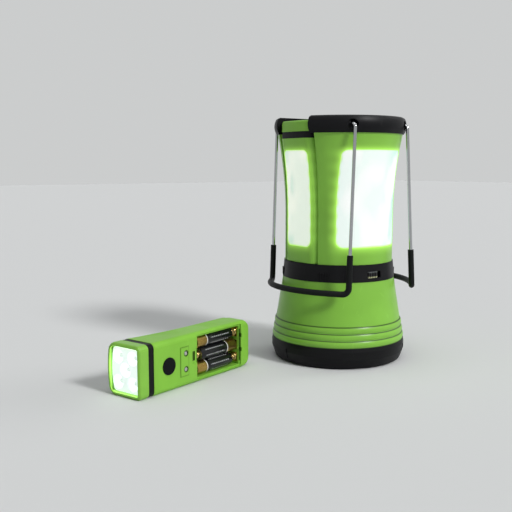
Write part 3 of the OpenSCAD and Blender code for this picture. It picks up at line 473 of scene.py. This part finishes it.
def diffuser(name, box, across_axis, lip, core, strength):
    """Frosted window, lit from behind: bright core, yellow-green rim, faint mint patches of painted
    reflection.
    """
    made, tree, shader, place = material(name, FROST, 0.38)
    xyz = axes(tree, place)
    half_w, half_h, mid = window_shape(box, across_axis)
    across = xyz["XY"[across_axis]]
    glow = shared(tree, "Window_Glow", {
        "Across": across, "Up": calc(tree, "SUBTRACT", xyz["Z"], mid),
        "Half_Width": half_w - lip, "Half_Height": half_h - lip,
        "Corner": WINDOW_CORNER, "Lamp_Pitch": LAMP_PITCH, "Halo_Width": finish().halo})
    long_way = add(tree, "ShaderNodeMapping", {"Vector": place, "Scale": (1, 1, 0.55)})
    cloud = add(tree, "ShaderNodeTexNoise", {
        "Vector": long_way.outputs["Vector"], "Scale": 42.0, "Detail": 1.5})
    # painted reflection: faint mint patches in the core's second colour, stronger toward one side of
    # the window
    side = ramp(tree, across, 0.1 * half_w, 0.8 * half_w, 0.25, 1.0)
    reflection_patch = calc(tree, "MULTIPLY", ramp(tree, cloud.outputs["Fac"], 0.38, 0.54), side)
    reflection_tint = blend(tree, reflection_patch, rgba(core[0]), rgba(core[1]))
    lamps = calc(tree, "SINE", calc(tree, "MULTIPLY", xyz["Z"], 2 * math.pi / LAMP_PITCH))
    wobble = calc(tree, "MULTIPLY_ADD", cloud.outputs["Fac"], 1.6 * MM,
                  calc(tree, "MULTIPLY_ADD", lamps, 0.35 * MM, glow["Inside"]))
    lit = blend(tree, ramp(tree, wobble, 0.6 * MM, 2.6 * MM), rgba(EDGE_COLOR), reflection_tint)
    shine(tree, shader, lit, strength * finish().glow)
    tree.links.new(blend(tree, ramp(tree, wobble, 0.3 * MM, 1.6 * MM), rgba(EDGE_COLOR),
                         rgba(FROST)), shader.inputs["Base Color"])
    grain = shared(tree, "Moulded_Grain", {"Vector": place, "Scale": 900.0})
    bumped(tree, shader, grain["Height"], 0.15, 0.08 * MM)
    return made


def lens_clear(name, lit):
    """Clear cover of a torch head, with the lamp's light caught along its rim where lit."""
    made, tree, shader, place = material(name, (0.97, 0.99, 0.98), 0.04,
                                         Transmission_Weight=1.0, IOR=1.49)
    if lit:
        at = torch_axes(tree, "loose", place)
        side = calc(tree, "SUBTRACT", calc(tree, "ABSOLUTE", at["Y"]), LENS_HALF[1])
        deep = calc(tree, "SUBTRACT", calc(tree, "ABSOLUTE", calc(
            tree, "SUBTRACT", at["X"], HEAD_X)), LENS_HALF[0])
        rim = ramp(tree, calc(tree, "MAXIMUM", side, deep), -2.2 * MM, -0.4 * MM)
        shine(tree, shader, blend(tree, rim, (0, 0, 0, 1), rgba(RIM_COLOR)), finish().glow)
    wear = shared(tree, "Handling", {"Vector": place, "Scratch_Scale": 90.0})
    tree.links.new(calc(tree, "MULTIPLY_ADD", wear["Smudge"], 0.05, 0.03),
                   shader.inputs["Roughness"])
    return made


def metal(name, color, roughness, scratch=1.0):
    """Bare metal with fine scratches and smudges."""
    made, tree, shader, place = material(name, color, roughness, 1.0)
    wear = shared(tree, "Handling", {"Vector": place, "Scratch_Scale": 240.0})
    dull = tuple(c * 0.72 for c in color)
    tree.links.new(blend(tree, calc(tree, "MULTIPLY", wear["Smudge"], 0.45 * scratch),
                         rgba(color), rgba(dull)), shader.inputs["Base Color"])
    tree.links.new(calc(tree, "MULTIPLY_ADD", wear["Scratch"], 0.2 * scratch, roughness),
                   shader.inputs["Roughness"])
    fine = shared(tree, "Moulded_Grain", {"Vector": place, "Scale": 2600.0})
    bumped(tree, shader, fine["Height"], 0.04, 0.03 * MM)
    return made


def lamp_board(name, strength):
    """White board or reflector, lit where strength is above zero."""
    made, tree, shader, place = moulded(name, (0.74, 0.77, 0.75), 0.35, grain=0.01, lift=1.04)
    if strength:
        fine = shared(tree, "Moulded_Grain", {"Vector": place, "Scale": 700.0})
        light = blend(tree, fine["Mottle"], (0.80, 0.92, 0.90, 1), (0.90, 1.0, 0.97, 1))
        shine(tree, shader, light, strength * finish().glow)
    return made


def switch_plastic():
    """Black slider with painted light from the window as a pale line along its foot and a painted
    highlight as a grey line along its top.
    """
    black = finish().black
    made, tree, shader, place = moulded("switch_plastic", black, 0.4)
    low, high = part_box("mode_switch")
    up = axes(tree, place)["Z"]
    # painted light: a pale line along the foot, where the lower edge catches the window's light
    foot = ramp(tree, up, low.z + 1.1 * MM, low.z + 1.4 * MM, 1.0, 0.0)
    # painted highlight: a grey line along the top edge
    top = ramp(tree, up, high.z - 0.9 * MM, high.z - 0.6 * MM)
    base = blend(tree, top, rgba(black), (0.10, 0.11, 0.11, 1))
    tree.links.new(blend(tree, foot, base, (0.40, 0.40, 0.24, 1)), shader.inputs["Base Color"])
    return made


# Height that one unit of v stands for on a lathed piece
UV_HEIGHT = 100 * MM


def cell_label(name, length, gold_length):
    """Printed sleeve of a cell: gold end, thin white ring, black body with plain dashes."""
    made, tree, shader, place = material(name, (0.01, 0.01, 0.012), 0.3, Coat_Weight=0.15,
                                         Coat_Roughness=0.15, Specular_IOR_Level=0.3)
    uv = add(tree, "ShaderNodeUVMap", uv_map="UVMap").outputs["UV"]
    at = axes(tree, uv)
    round_it, up = at["X"], at["Y"]
    start = (length - gold_length) / UV_HEIGHT
    ring = 0.85 * MM / UV_HEIGHT
    soft = 0.08 * MM / UV_HEIGHT
    gold = ramp(tree, up, start, start + soft)
    white = calc(tree, "MULTIPLY", ramp(tree, up, start - ring, start - ring + soft),
                 ramp(tree, up, start, start + soft, 1.0, 0.0))
    # rows of short dashes round the black part, in place of the print
    rows = calc(tree, "FRACT", calc(tree, "MULTIPLY", round_it, 7.0))
    row = calc(tree, "MULTIPLY", ramp(tree, rows, 0.30, 0.34), ramp(tree, rows, 0.48, 0.52, 1, 0))
    beat = calc(tree, "FRACT", calc(tree, "MULTIPLY", up, 42.0))
    dash = calc(tree, "MULTIPLY", ramp(tree, beat, 0.22, 0.30), ramp(tree, beat, 0.80, 0.88, 1, 0))
    inside = calc(tree, "MULTIPLY", ramp(tree, up, 0.05, 0.055),
                  ramp(tree, up, start - 0.05, start - 0.045, 1.0, 0.0))
    marks = calc(tree, "MULTIPLY", calc(tree, "MULTIPLY", row, dash), inside)
    wear = shared(tree, "Handling", {"Vector": place, "Scratch_Scale": 200.0})
    base = blend(tree, calc(tree, "MULTIPLY", wear["Smudge"], 0.5),
                 (0.004, 0.004, 0.005, 1), (0.012, 0.012, 0.014, 1))
    base = blend(tree, calc(tree, "MULTIPLY", marks, 0.9), base, (0.50, 0.51, 0.52, 1))
    brown = blend(tree, wear["Smudge"], (0.44, 0.29, 0.07, 1), (0.24, 0.15, 0.035, 1))
    base = blend(tree, gold, base, brown)
    tree.links.new(blend(tree, white, base, (0.80, 0.79, 0.74, 1)), shader.inputs["Base Color"])
    tree.links.new(calc(tree, "MULTIPLY", gold, 0.9), shader.inputs["Metallic"])
    tree.links.new(calc(tree, "MULTIPLY_ADD", wear["Smudge"], 0.12, 0.2),
                   shader.inputs["Roughness"])
    return made


def main_cell_label():
    """Sleeve of the main cells: black with a gold band at the upper end."""
    made, tree, shader, place = material("main_cell_label", (0.02, 0.02, 0.022), 0.3)
    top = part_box("d_cells")[1].z
    up = axes(tree, place)["Z"]
    gold = ramp(tree, up, top - 16 * MM, top - 15.8 * MM)
    wear = shared(tree, "Handling", {"Vector": place})
    base = blend(tree, wear["Smudge"], (0.010, 0.010, 0.012, 1), (0.03, 0.03, 0.034, 1))
    tree.links.new(blend(tree, gold, base, (0.50, 0.31, 0.10, 1)), shader.inputs["Base Color"])
    tree.links.new(calc(tree, "MULTIPLY", gold, 0.9), shader.inputs["Metallic"])
    return made


def finishes():
    """Materials of the CAD parts."""
    black = finish().black
    return {
        "green_cone": green_cone(),
        "green_loose": green_loose(),
        "green_plain": green("green_plain")[0],
        "green_tower": green_tower(),
        "green_docked": green_docked(),
        "black_plastic": moulded("black_plastic", black, 0.4, grain=0.03,
                                 Specular_IOR_Level=BLACK_GLOSS)[0],
        "dull_black": moulded("dull_black", black, 0.55, grain=0.05, scale=900.0)[0],
        "rubber": moulded("rubber", (0.010, 0.010, 0.011), 0.72, grain=0.06, scale=900.0)[0],
        "grip_rubber": moulded("grip_rubber", (0.004, 0.005, 0.005), 0.5, grain=0.03,
                               Specular_IOR_Level=BLACK_GLOSS)[0],
        "button_rubber": moulded("button_rubber", (0.003, 0.003, 0.005), 0.3, grain=0.03,
                                 Specular_IOR_Level=0.1)[0],
        "switch_plastic": switch_plastic(),
        "white_plastic": moulded("white_plastic", (0.78, 0.79, 0.77), 0.4)[0],
        "circuit_board": moulded("circuit_board", (0.02, 0.10, 0.04), 0.35, grain=0.02)[0],
        "lamp_board": lamp_board("lamp_board", 0.8),
        "head_lit": lamp_board("head_lit", 0.36),
        "reflector_lit": lamp_board("reflector_lit", 0.72),
        "head_dark": lamp_board("head_dark", 0.0),
        "clear_lens": lens_clear("clear_lens", False),
        "lit_lens": lens_clear("lit_lens", True),
        "contact_plate": metal("contact_plate", (0.62, 0.60, 0.55), 0.28),
        "brass": metal("brass", (0.66, 0.46, 0.17), 0.24),
        "steel": metal("steel", (0.56, 0.56, 0.55), 0.22),
        "chrome": metal("chrome", (0.45, 0.46, 0.47), 0.09, scratch=0.5),
        "main_cells": main_cell_label(),
        "window": diffuser("lit_window", WINDOW, 0, WINDOW_LIP,
                           ((1.0, 1.0, 1.0), (0.36, 0.80, 0.66)), 0.62),
        "torch_window": diffuser("lit_torch_window", TORCH_WINDOW, 1, 0.0,
                                 ((0.90, 0.94, 0.80), (0.42, 0.66, 0.56)), 0.72),
        "loose_window": moulded("frosted_window", (0.70, 0.74, 0.70), 0.45, grain=0.02)[0],
    }


WEARS = {
    "green_tower": ["tower_shell"],
    "green_docked": ["docked_shell", "docked_bezel"],
    "green_cone": ["cone_shell"],
    "green_loose": ["loose_shell"],
    "green_plain": ["docked_cover", "loose_bezel"],
    "black_plastic": ["base_cover", "waist_band", "top_cap", "docked_band", "loose_band"],
    "dull_black": ["battery_tray"],
    "rubber": ["foot_pad", "base_seal"],
    "grip_rubber": ["bail_grip_left", "bail_grip_right"],
    "button_rubber": ["docked_button", "loose_button"],
    "switch_plastic": ["mode_switch"],
    "white_plastic": ["reflector_front", "reflector_back"],
    "lamp_board": ["led_board_front", "led_board_back", "docked_side_leds"],
    "head_lit": ["loose_head_leds"],
    "reflector_lit": ["loose_reflector"],
    "head_dark": ["docked_head_leds", "docked_reflector", "loose_side_leds"],
    "circuit_board": ["driver_board"],
    "clear_lens": ["docked_lens"],
    "lit_lens": ["loose_lens"],
    "contact_plate": ["tray_contacts"],
    "brass": ["dock_contacts"],
    "steel": ["cap_screws"],
    "chrome": ["bail_wire_left", "bail_wire_right"],
    "main_cells": ["d_cells"],
    "window": ["window_front", "window_back"],
    "torch_window": ["docked_window"],
    "loose_window": ["loose_window"],
}


def dress(node, made):
    """Gives a CAD node one material."""
    mesh = NODES[node].data
    mesh.materials.clear()
    mesh.materials.append(made)
    for face in mesh.polygons:
        face.material_index = 0


def light_lens_seat(made):
    """Gives the seat round the lit torch's lens its own material."""
    mesh = NODES["loose_bezel"].data
    mesh.materials.append(made)
    back = TORCH["loose"].inverted()
    turn = back.to_3x3()
    for face in mesh.polygons:
        spot, out = back @ face.center, turn @ face.normal
        inwards = out.x * (HEAD_X - spot.x) - out.y * spot.y
        if inwards > 0.3 * math.hypot(HEAD_X - spot.x, spot.y) and abs(out.z) < 0.7:
            face.material_index = 1


class LANTERN_OT_finishes(bpy.types.Operator):
    """Gives every CAD part its finish"""

    bl_idname = "lantern.finishes"
    bl_label = "Finishes"

    def execute(self, context):
        made = finishes()
        for finish, nodes in WEARS.items():
            for node in nodes:
                dress(node, made[finish])
        light_lens_seat(rim_lit())
        return {"FINISHED"}


# ------------------------------------------------------------------ cells and studs

def lathe(name, profile, steps):
    """Mesh of a closed solid of revolution about z from (radius, z, material) points; its uv
    is the share of a turn and the height in units of UV_HEIGHT."""
    mesh = bpy.data.meshes.new(name)
    bm = bmesh.new()
    uv = bm.loops.layers.uv.new("UVMap")
    rings = []
    for r, z, _ in profile:
        count = steps if r else 1
        rings.append([bm.verts.new((r * math.cos(2 * math.pi * k / steps),
                                    r * math.sin(2 * math.pi * k / steps), z))
                      for k in range(count)])
    for (low, high, (_, z_low, index), (_, z_high, _)) in zip(
            rings, rings[1:], profile, profile[1:]):
        for k in range(steps):
            n = (k + 1) % steps
            around = [(low, k, k, z_low), (low, n, k + 1, z_low),
                      (high, n, k + 1, z_high), (high, k, k, z_high)]
            if len(low) == 1:
                del around[1]
            if len(high) == 1:
                del around[-1]
            face = bm.faces.new([ring[i if len(ring) > 1 else 0] for ring, i, _, _ in around])
            face.material_index = index
            face.smooth = True
            for loop, (_, _, turn, z) in zip(face.loops, around):
                loop[uv].uv = (turn / steps, z / UV_HEIGHT)
    bmesh.ops.recalc_face_normals(bm, faces=bm.faces)
    bm.to_mesh(mesh)
    bm.free()
    return mesh


def place_copies(name, mesh, places, materials):
    """One piece made of a mesh at each of several places."""
    whole = bmesh.new()
    for place in places:
        part = mesh.copy()
        part.transform(place)
        whole.from_mesh(part)
        bpy.data.meshes.remove(part)
    whole.to_mesh(mesh)
    whole.free()
    for made in materials:
        mesh.materials.append(made)
    mesh.set_sharp_from_angle(angle=math.radians(35))
    piece = bpy.data.objects.new(name, mesh)
    bpy.context.scene.collection.objects.link(piece)
    return piece


def small_cell_profile(cells):
    """Outline of an AAA cell from its flat end up: can bottom, sleeve, shoulder and nub."""
    r, top = cells.cell_diameter / 2 / MM, cells.cell_length / MM
    can, sleeve = 0, 1
    steps = [(0, 0.1, can), (3.4, 0.1, can), (3.8, 0, can), (r - 0.75, 0.0, can),
             (r - 0.45, 0.12, sleeve), (r - 0.12, 0.3, sleeve), (r, 0.7, sleeve),
             (r, top - 2.0, sleeve), (r - 0.12, top - 1.6, sleeve), (r - 0.5, top - 1.4, sleeve),
             (r - 1.0, top - 1.42, can), (r - 1.2, top - 1.62, can), (2.6, top - 1.62, can),
             (2.1, top - 1.35, can), (1.9, top - 1.1, can), (1.9, top - 0.3, can),
             (1.6, top - 0.05, can), (1.2, top, can), (0, top, can)]
    return [(radius * MM, height * MM, index) for radius, height, index in steps]


# Turn of each cell about its own axis
CELL_SPIN = (0.4, 2.1, 1.2)


def cell_places(which, cells):
    """The three cells of a torch: the outer two with the nub to the lens, the middle one
    the other way."""
    flip = Matrix.Rotation(math.pi, 4, "X")
    places = []
    for i in (-1, 0, 1):
        nub = BAY_LOW + END_PLATE if i == 0 else BAY_HIGH - END_PLATE
        spin = Matrix.Rotation(CELL_SPIN[i + 1], 4, "Z")
        if i:
            local = Matrix.Translation((CELL_X, i * CELL_PITCH, nub - cells.cell_length)) @ spin
        else:
            local = Matrix.Translation((CELL_X, 0, nub + cells.cell_length)) @ flip @ spin
        places.append(TORCH[which] @ local)
    return places


class LANTERN_OT_cells(bpy.types.Operator):
    """Makes the three small cells of each torch"""

    bl_idname = "lantern.cells"
    bl_label = "Small cells"

    def execute(self, context):
        cells = context.scene.lantern_cells
        label = cell_label("small_cell_label", cells.cell_length, cells.gold_length)
        can = metal("cell_can", (0.55, 0.54, 0.52), 0.25)
        for which in TORCH:
            mesh = lathe(which + "_small_cells", small_cell_profile(cells), 56)
            piece = place_copies(mesh.name, mesh, cell_places(which, cells), (can, label))
            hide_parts(which + "_cells")
            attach(piece, which + "_torch")
        return {"FINISHED"}


# Radius and height in mm, from the flange inside the wall to the crown
STUD_OUTLINE = ((0, -4.2), (2.8, -4.2), (2.8, -3.2), (1.8, -3.2), (1.8, -0.46), (1.74, -0.36),
                (1.55, -0.24), (1.2, -0.12), (0.8, -0.05), (0.4, -0.01), (0, 0))


class LANTERN_OT_studs(bpy.types.Operator):
    """Makes the two domed contact studs of each torch"""

    bl_idname = "lantern.studs"
    bl_label = "Contact studs"

    def execute(self, context):
        steel = metal("stud_steel", (0.60, 0.60, 0.59), 0.16)
        x, y, z = STUD_SPOT
        outwards = Matrix.Rotation(-math.pi / 2, 4, "Y")
        for which, matrix in TORCH.items():
            mesh = lathe(which + "_domed_studs",
                         [(r * MM, h * MM, 0) for r, h in STUD_OUTLINE], 40)
            spots = [matrix @ Matrix.Translation((x, side * y, z)) @ outwards
                     for side in (-1, 1)]
            piece = place_copies(mesh.name, mesh, spots, (steel,))
            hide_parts(which + "_studs")
            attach(piece, which + "_torch")
        return {"FINISHED"}


# ------------------------------------------------------------------ springs

def spring_tree(made):
    """Contact plates at both ends of three cells, and a conical coil at each flat end."""
    tree = bpy.data.node_groups.new("Contact_Springs", "GeometryNodeTree")
    tree.is_modifier = True
    for title, kind in (
            ("Geometry", "NodeSocketGeometry"), ("Cell_Pitch", "NodeSocketFloat"),
            ("Bay_Low", "NodeSocketFloat"), ("Bay_High", "NodeSocketFloat"),
            ("Coil_Height", "NodeSocketFloat"), ("Coil_Turns", "NodeSocketFloat"),
            ("Wide_Radius", "NodeSocketFloat"), ("Narrow_Radius", "NodeSocketFloat"),
            ("Wire_Radius", "NodeSocketFloat"), ("Plate_Side", "NodeSocketFloat"),
            ("Plate_Thickness", "NodeSocketFloat")):
        tree.interface.new_socket(title, in_out="INPUT", socket_type=kind)
    tree.interface.new_socket("Geometry", in_out="OUTPUT", socket_type="NodeSocketGeometry")
    given = tree.nodes.new("NodeGroupInput").outputs
    out = tree.nodes.new("NodeGroupOutput")

    def vector(x=0.0, y=0.0, z=0.0):
        return add(tree, "ShaderNodeCombineXYZ", {"X": x, "Y": y, "Z": z}).outputs[0]

    def row(height):
        """Three points across the bay at a height."""
        return add(tree, "GeometryNodeMeshLine", {
            "Count": 3, "Start Location": vector(
                y=calc(tree, "MULTIPLY", given["Cell_Pitch"], -1.0), z=height),
            "Offset": vector(y=given["Cell_Pitch"])}).outputs["Mesh"]

    coil = add(tree, "GeometryNodeCurveSpiral", {
        "Resolution": 28, "Rotations": given["Coil_Turns"],
        "Start Radius": given["Wide_Radius"], "End Radius": given["Narrow_Radius"],
        "Height": given["Coil_Height"]}).outputs["Curve"]
    wire = add(tree, "GeometryNodeCurvePrimitiveCircle", {
        "Resolution": 10, "Radius": given["Wire_Radius"]}).outputs["Curve"]
    wound = add(tree, "GeometryNodeCurveToMesh", {
        "Curve": coil, "Profile Curve": wire, "Fill Caps": True}).outputs["Mesh"]
    wound = add(tree, "GeometryNodeSetShadeSmooth", {"Geometry": wound}).outputs[0]

    middle = add(tree, "FunctionNodeCompare", {
        2: add(tree, "GeometryNodeInputIndex").outputs[0], 3: 1},
        data_type="INT", operation="EQUAL").outputs[0]
    seat = calc(tree, "ADD", calc(tree, "ADD", given["Bay_Low"], given["Plate_Thickness"]),
                given["Wire_Radius"])
    far_seat = calc(tree, "SUBTRACT", calc(tree, "SUBTRACT", given["Bay_High"],
                                           given["Plate_Thickness"]), given["Wire_Radius"])
    stands = add(tree, "GeometryNodeSetPosition", {
        "Geometry": row(seat), "Selection": middle,
        "Offset": vector(z=calc(tree, "SUBTRACT", far_seat, seat))}).outputs[0]
    turn = add(tree, "FunctionNodeEulerToRotation", {
        "Euler": vector(x=calc(tree, "MULTIPLY", middle, math.pi))}).outputs[0]
    coils = add(tree, "GeometryNodeInstanceOnPoints", {
        "Points": stands, "Instance": wound, "Rotation": turn}).outputs[0]

    plate = add(tree, "GeometryNodeMeshCube", {
        "Size": vector(given["Plate_Side"], given["Plate_Side"], given["Plate_Thickness"])
    }).outputs["Mesh"]
    half = calc(tree, "MULTIPLY", given["Plate_Thickness"], 0.5)
    plates = [add(tree, "GeometryNodeInstanceOnPoints", {
        "Points": row(height), "Instance": plate}).outputs[0] for height in (
            calc(tree, "ADD", given["Bay_Low"], half),
            calc(tree, "SUBTRACT", given["Bay_High"], half))]

    joined = tree.nodes.new("GeometryNodeJoinGeometry")
    for part in (coils, *plates):
        tree.links.new(part, joined.inputs[0])
    real = add(tree, "GeometryNodeRealizeInstances", {"Geometry": joined.outputs[0]}).outputs[0]
    done = add(tree, "GeometryNodeSetMaterial", {"Geometry": real, "Material": made}).outputs[0]
    tree.links.new(done, out.inputs[0])
    return tree


def grown(name, tree, values, place, made):
    """The plain mesh that a node tree makes, put in its place."""
    start = bpy.data.objects.new(name + "_start", bpy.data.meshes.new(name + "_start"))
    bpy.context.scene.collection.objects.link(start)
    modifier = start.modifiers.new("Nodes", "NODES")
    modifier.node_group = tree
    for socket in tree.interface.items_tree:
        if socket.in_out == "INPUT" and socket.name in values:
            modifier[socket.identifier] = values[socket.name]
    graph = bpy.context.evaluated_depsgraph_get()
    mesh = bpy.data.meshes.new_from_object(start.evaluated_get(graph))
    bpy.data.objects.remove(start)
    mesh.name = name
    mesh.transform(place)
    mesh.materials.clear()
    mesh.materials.append(made)
    piece = bpy.data.objects.new(name, mesh)
    bpy.context.scene.collection.objects.link(piece)
    return piece


class LANTERN_OT_springs(bpy.types.Operator):
    """Makes the contact plates and coil springs of each torch"""

    bl_idname = "lantern.springs"
    bl_label = "Contact springs"

    def execute(self, context):
        cells = context.scene.lantern_cells
        wire = 0.42 * MM
        slack = 0.05 * MM
        made = metal("spring_brass", (0.70, 0.52, 0.22), 0.2)
        tree = spring_tree(made)
        gap = BAY_HIGH - BAY_LOW - 2 * END_PLATE - cells.cell_length
        values = {
            "Cell_Pitch": CELL_PITCH, "Bay_Low": BAY_LOW, "Bay_High": BAY_HIGH,
            "Coil_Height": gap - 2 * wire - slack, "Coil_Turns": float(cells.coil_turns),
            "Wide_Radius": 3.9 * MM, "Narrow_Radius": 2.2 * MM, "Wire_Radius": wire,
            "Plate_Side": 8 * MM, "Plate_Thickness": END_PLATE,
        }
        for which, matrix in TORCH.items():
            place = matrix @ Matrix.Translation((CELL_X, 0, 0))
            piece = grown(which + "_contact_springs", tree, values, place, made)
            if not piece.data.polygons:
                raise RuntimeError("the spring tree made no faces")
            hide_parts(which + "_springs")
            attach(piece, which + "_torch")
        return {"FINISHED"}


# ------------------------------------------------------------------ stage

EYE = Vector((-448.5, -498.1, 168.5)) * MM
AIM = Vector((0.580, 0.806, -0.119))
LENS_MM = 53.05
SENSOR_MM = 36
FLOOR_HALF = 6.0

# Light of the surroundings, and the pale backdrop seen directly, in gloss and through glass
AMBIENT = (0.86, 0.88, 0.90, 1)
AMBIENT_STRENGTH = 0.22
BACKDROP = (0.60, 0.61, 0.61, 1)

# Name, direction of the light, strength and spread of each studio light
SUNS = (("key", (-0.21, 0.82, -0.62), 2.05, 0.22),
        ("top", (0.10, 0.05, -1.0), 0.75, 0.7),
        ("side", (-0.82, 0.10, -0.60), 0.35, 0.3))


def soft_sun(name, towards, strength, spread):
    """Even light from one side of the studio."""
    light = bpy.data.lights.new(name, "SUN")
    light.energy = strength
    light.angle = spread
    lamp = bpy.data.objects.new(name, light)
    lamp.location = -Vector(towards)
    lamp.rotation_euler = Vector(towards).to_track_quat("-Z", "Y").to_euler()
    bpy.context.scene.collection.objects.link(lamp)


def paper():
    """Plain pale floor paper."""
    made, tree, shader, place = material("floor_paper", (0.70, 0.71, 0.71), 0.9)
    fine = shared(tree, "Moulded_Grain", {"Vector": place, "Scale": 900.0})
    bumped(tree, shader, fine["Height"], 0.1, 0.1 * MM)
    return made


def studio_world():
    """Soft light from all round, with a plain pale backdrop for the eye, gloss and glass."""
    world = bpy.data.worlds.new("studio")
    world.use_nodes = True
    tree = world.node_tree
    shade = tree.nodes["Background"]
    rays = add(tree, "ShaderNodeLightPath").outputs
    seen = calc(tree, "MAXIMUM", rays["Is Camera Ray"], calc(
        tree, "MAXIMUM", rays["Is Glossy Ray"], rays["Is Transmission Ray"]))
    tree.links.new(blend(tree, seen, AMBIENT, BACKDROP), shade.inputs["Color"])
    tree.links.new(calc(tree, "MULTIPLY_ADD", seen, 1.0 - AMBIENT_STRENGTH, AMBIENT_STRENGTH),
                   shade.inputs["Strength"])
    return world


def floor_piece():
    """Flat square of paper under the lantern."""
    mesh = bpy.data.meshes.new("floor")
    bm = bmesh.new()
    corners = [bm.verts.new((x * FLOOR_HALF, y * FLOOR_HALF, 0))
               for x, y in ((-1, -1), (1, -1), (1, 1), (-1, 1))]
    bm.faces.new(corners)
    bm.to_mesh(mesh)
    bm.free()
    mesh.materials.append(paper())
    floor = bpy.data.objects.new("floor", mesh)
    bpy.context.scene.collection.objects.link(floor)
    return floor


def camera_piece():
    """The camera at its place."""
    lens = bpy.data.cameras.new("camera")
    lens.lens = LENS_MM
    lens.sensor_width = SENSOR_MM
    lens.clip_start = 10 * MM
    camera = bpy.data.objects.new("camera", lens)
    camera.location = EYE
    camera.rotation_euler = AIM.to_track_quat("-Z", "Y").to_euler()
    bpy.context.scene.collection.objects.link(camera)
    return camera


class LANTERN_OT_stage(bpy.types.Operator):
    """Pale floor, soft studio light and the camera"""

    bl_idname = "lantern.stage"
    bl_label = "Stage"

    def execute(self, context):
        floor = floor_piece()

        scene = context.scene
        scene.world = studio_world()
        for sun in SUNS:
            soft_sun(*sun)
        scene.camera = camera_piece()
        scene.view_settings.view_transform = "Standard"
        return {"FINISHED"}


class LANTERN_PT_panel(bpy.types.Panel):
    """Settings and pieces of the lantern"""

    bl_idname = "LANTERN_PT_panel"
    bl_label = "Camping lantern"
    bl_space_type = "VIEW_3D"
    bl_region_type = "UI"
    bl_category = "Lantern"

    def draw(self, context):
        for settings in (context.scene.lantern_finish, context.scene.lantern_cells):
            for name in settings.__annotations__:
                self.layout.prop(settings, name)
        for piece in PIECES:
            self.layout.operator(piece.bl_idname)


PIECES = (LANTERN_OT_finishes, LANTERN_OT_cells, LANTERN_OT_studs, LANTERN_OT_springs,
          LANTERN_OT_stage)
CLASSES = (LanternFinish, LanternCells) + PIECES + (LANTERN_PT_panel,)


def register():
    for kind in CLASSES:
        bpy.utils.register_class(kind)
    bpy.types.Scene.lantern_finish = PointerProperty(type=LanternFinish)
    bpy.types.Scene.lantern_cells = PointerProperty(type=LanternCells)


def unregister():
    del bpy.types.Scene.lantern_cells
    del bpy.types.Scene.lantern_finish
    for kind in reversed(CLASSES):
        bpy.utils.unregister_class(kind)


def main():
    register()
    for piece in PIECES:
        family, name = piece.bl_idname.split(".")
        getattr(getattr(bpy.ops, family), name)()


if __name__ == "__main__":
    main()
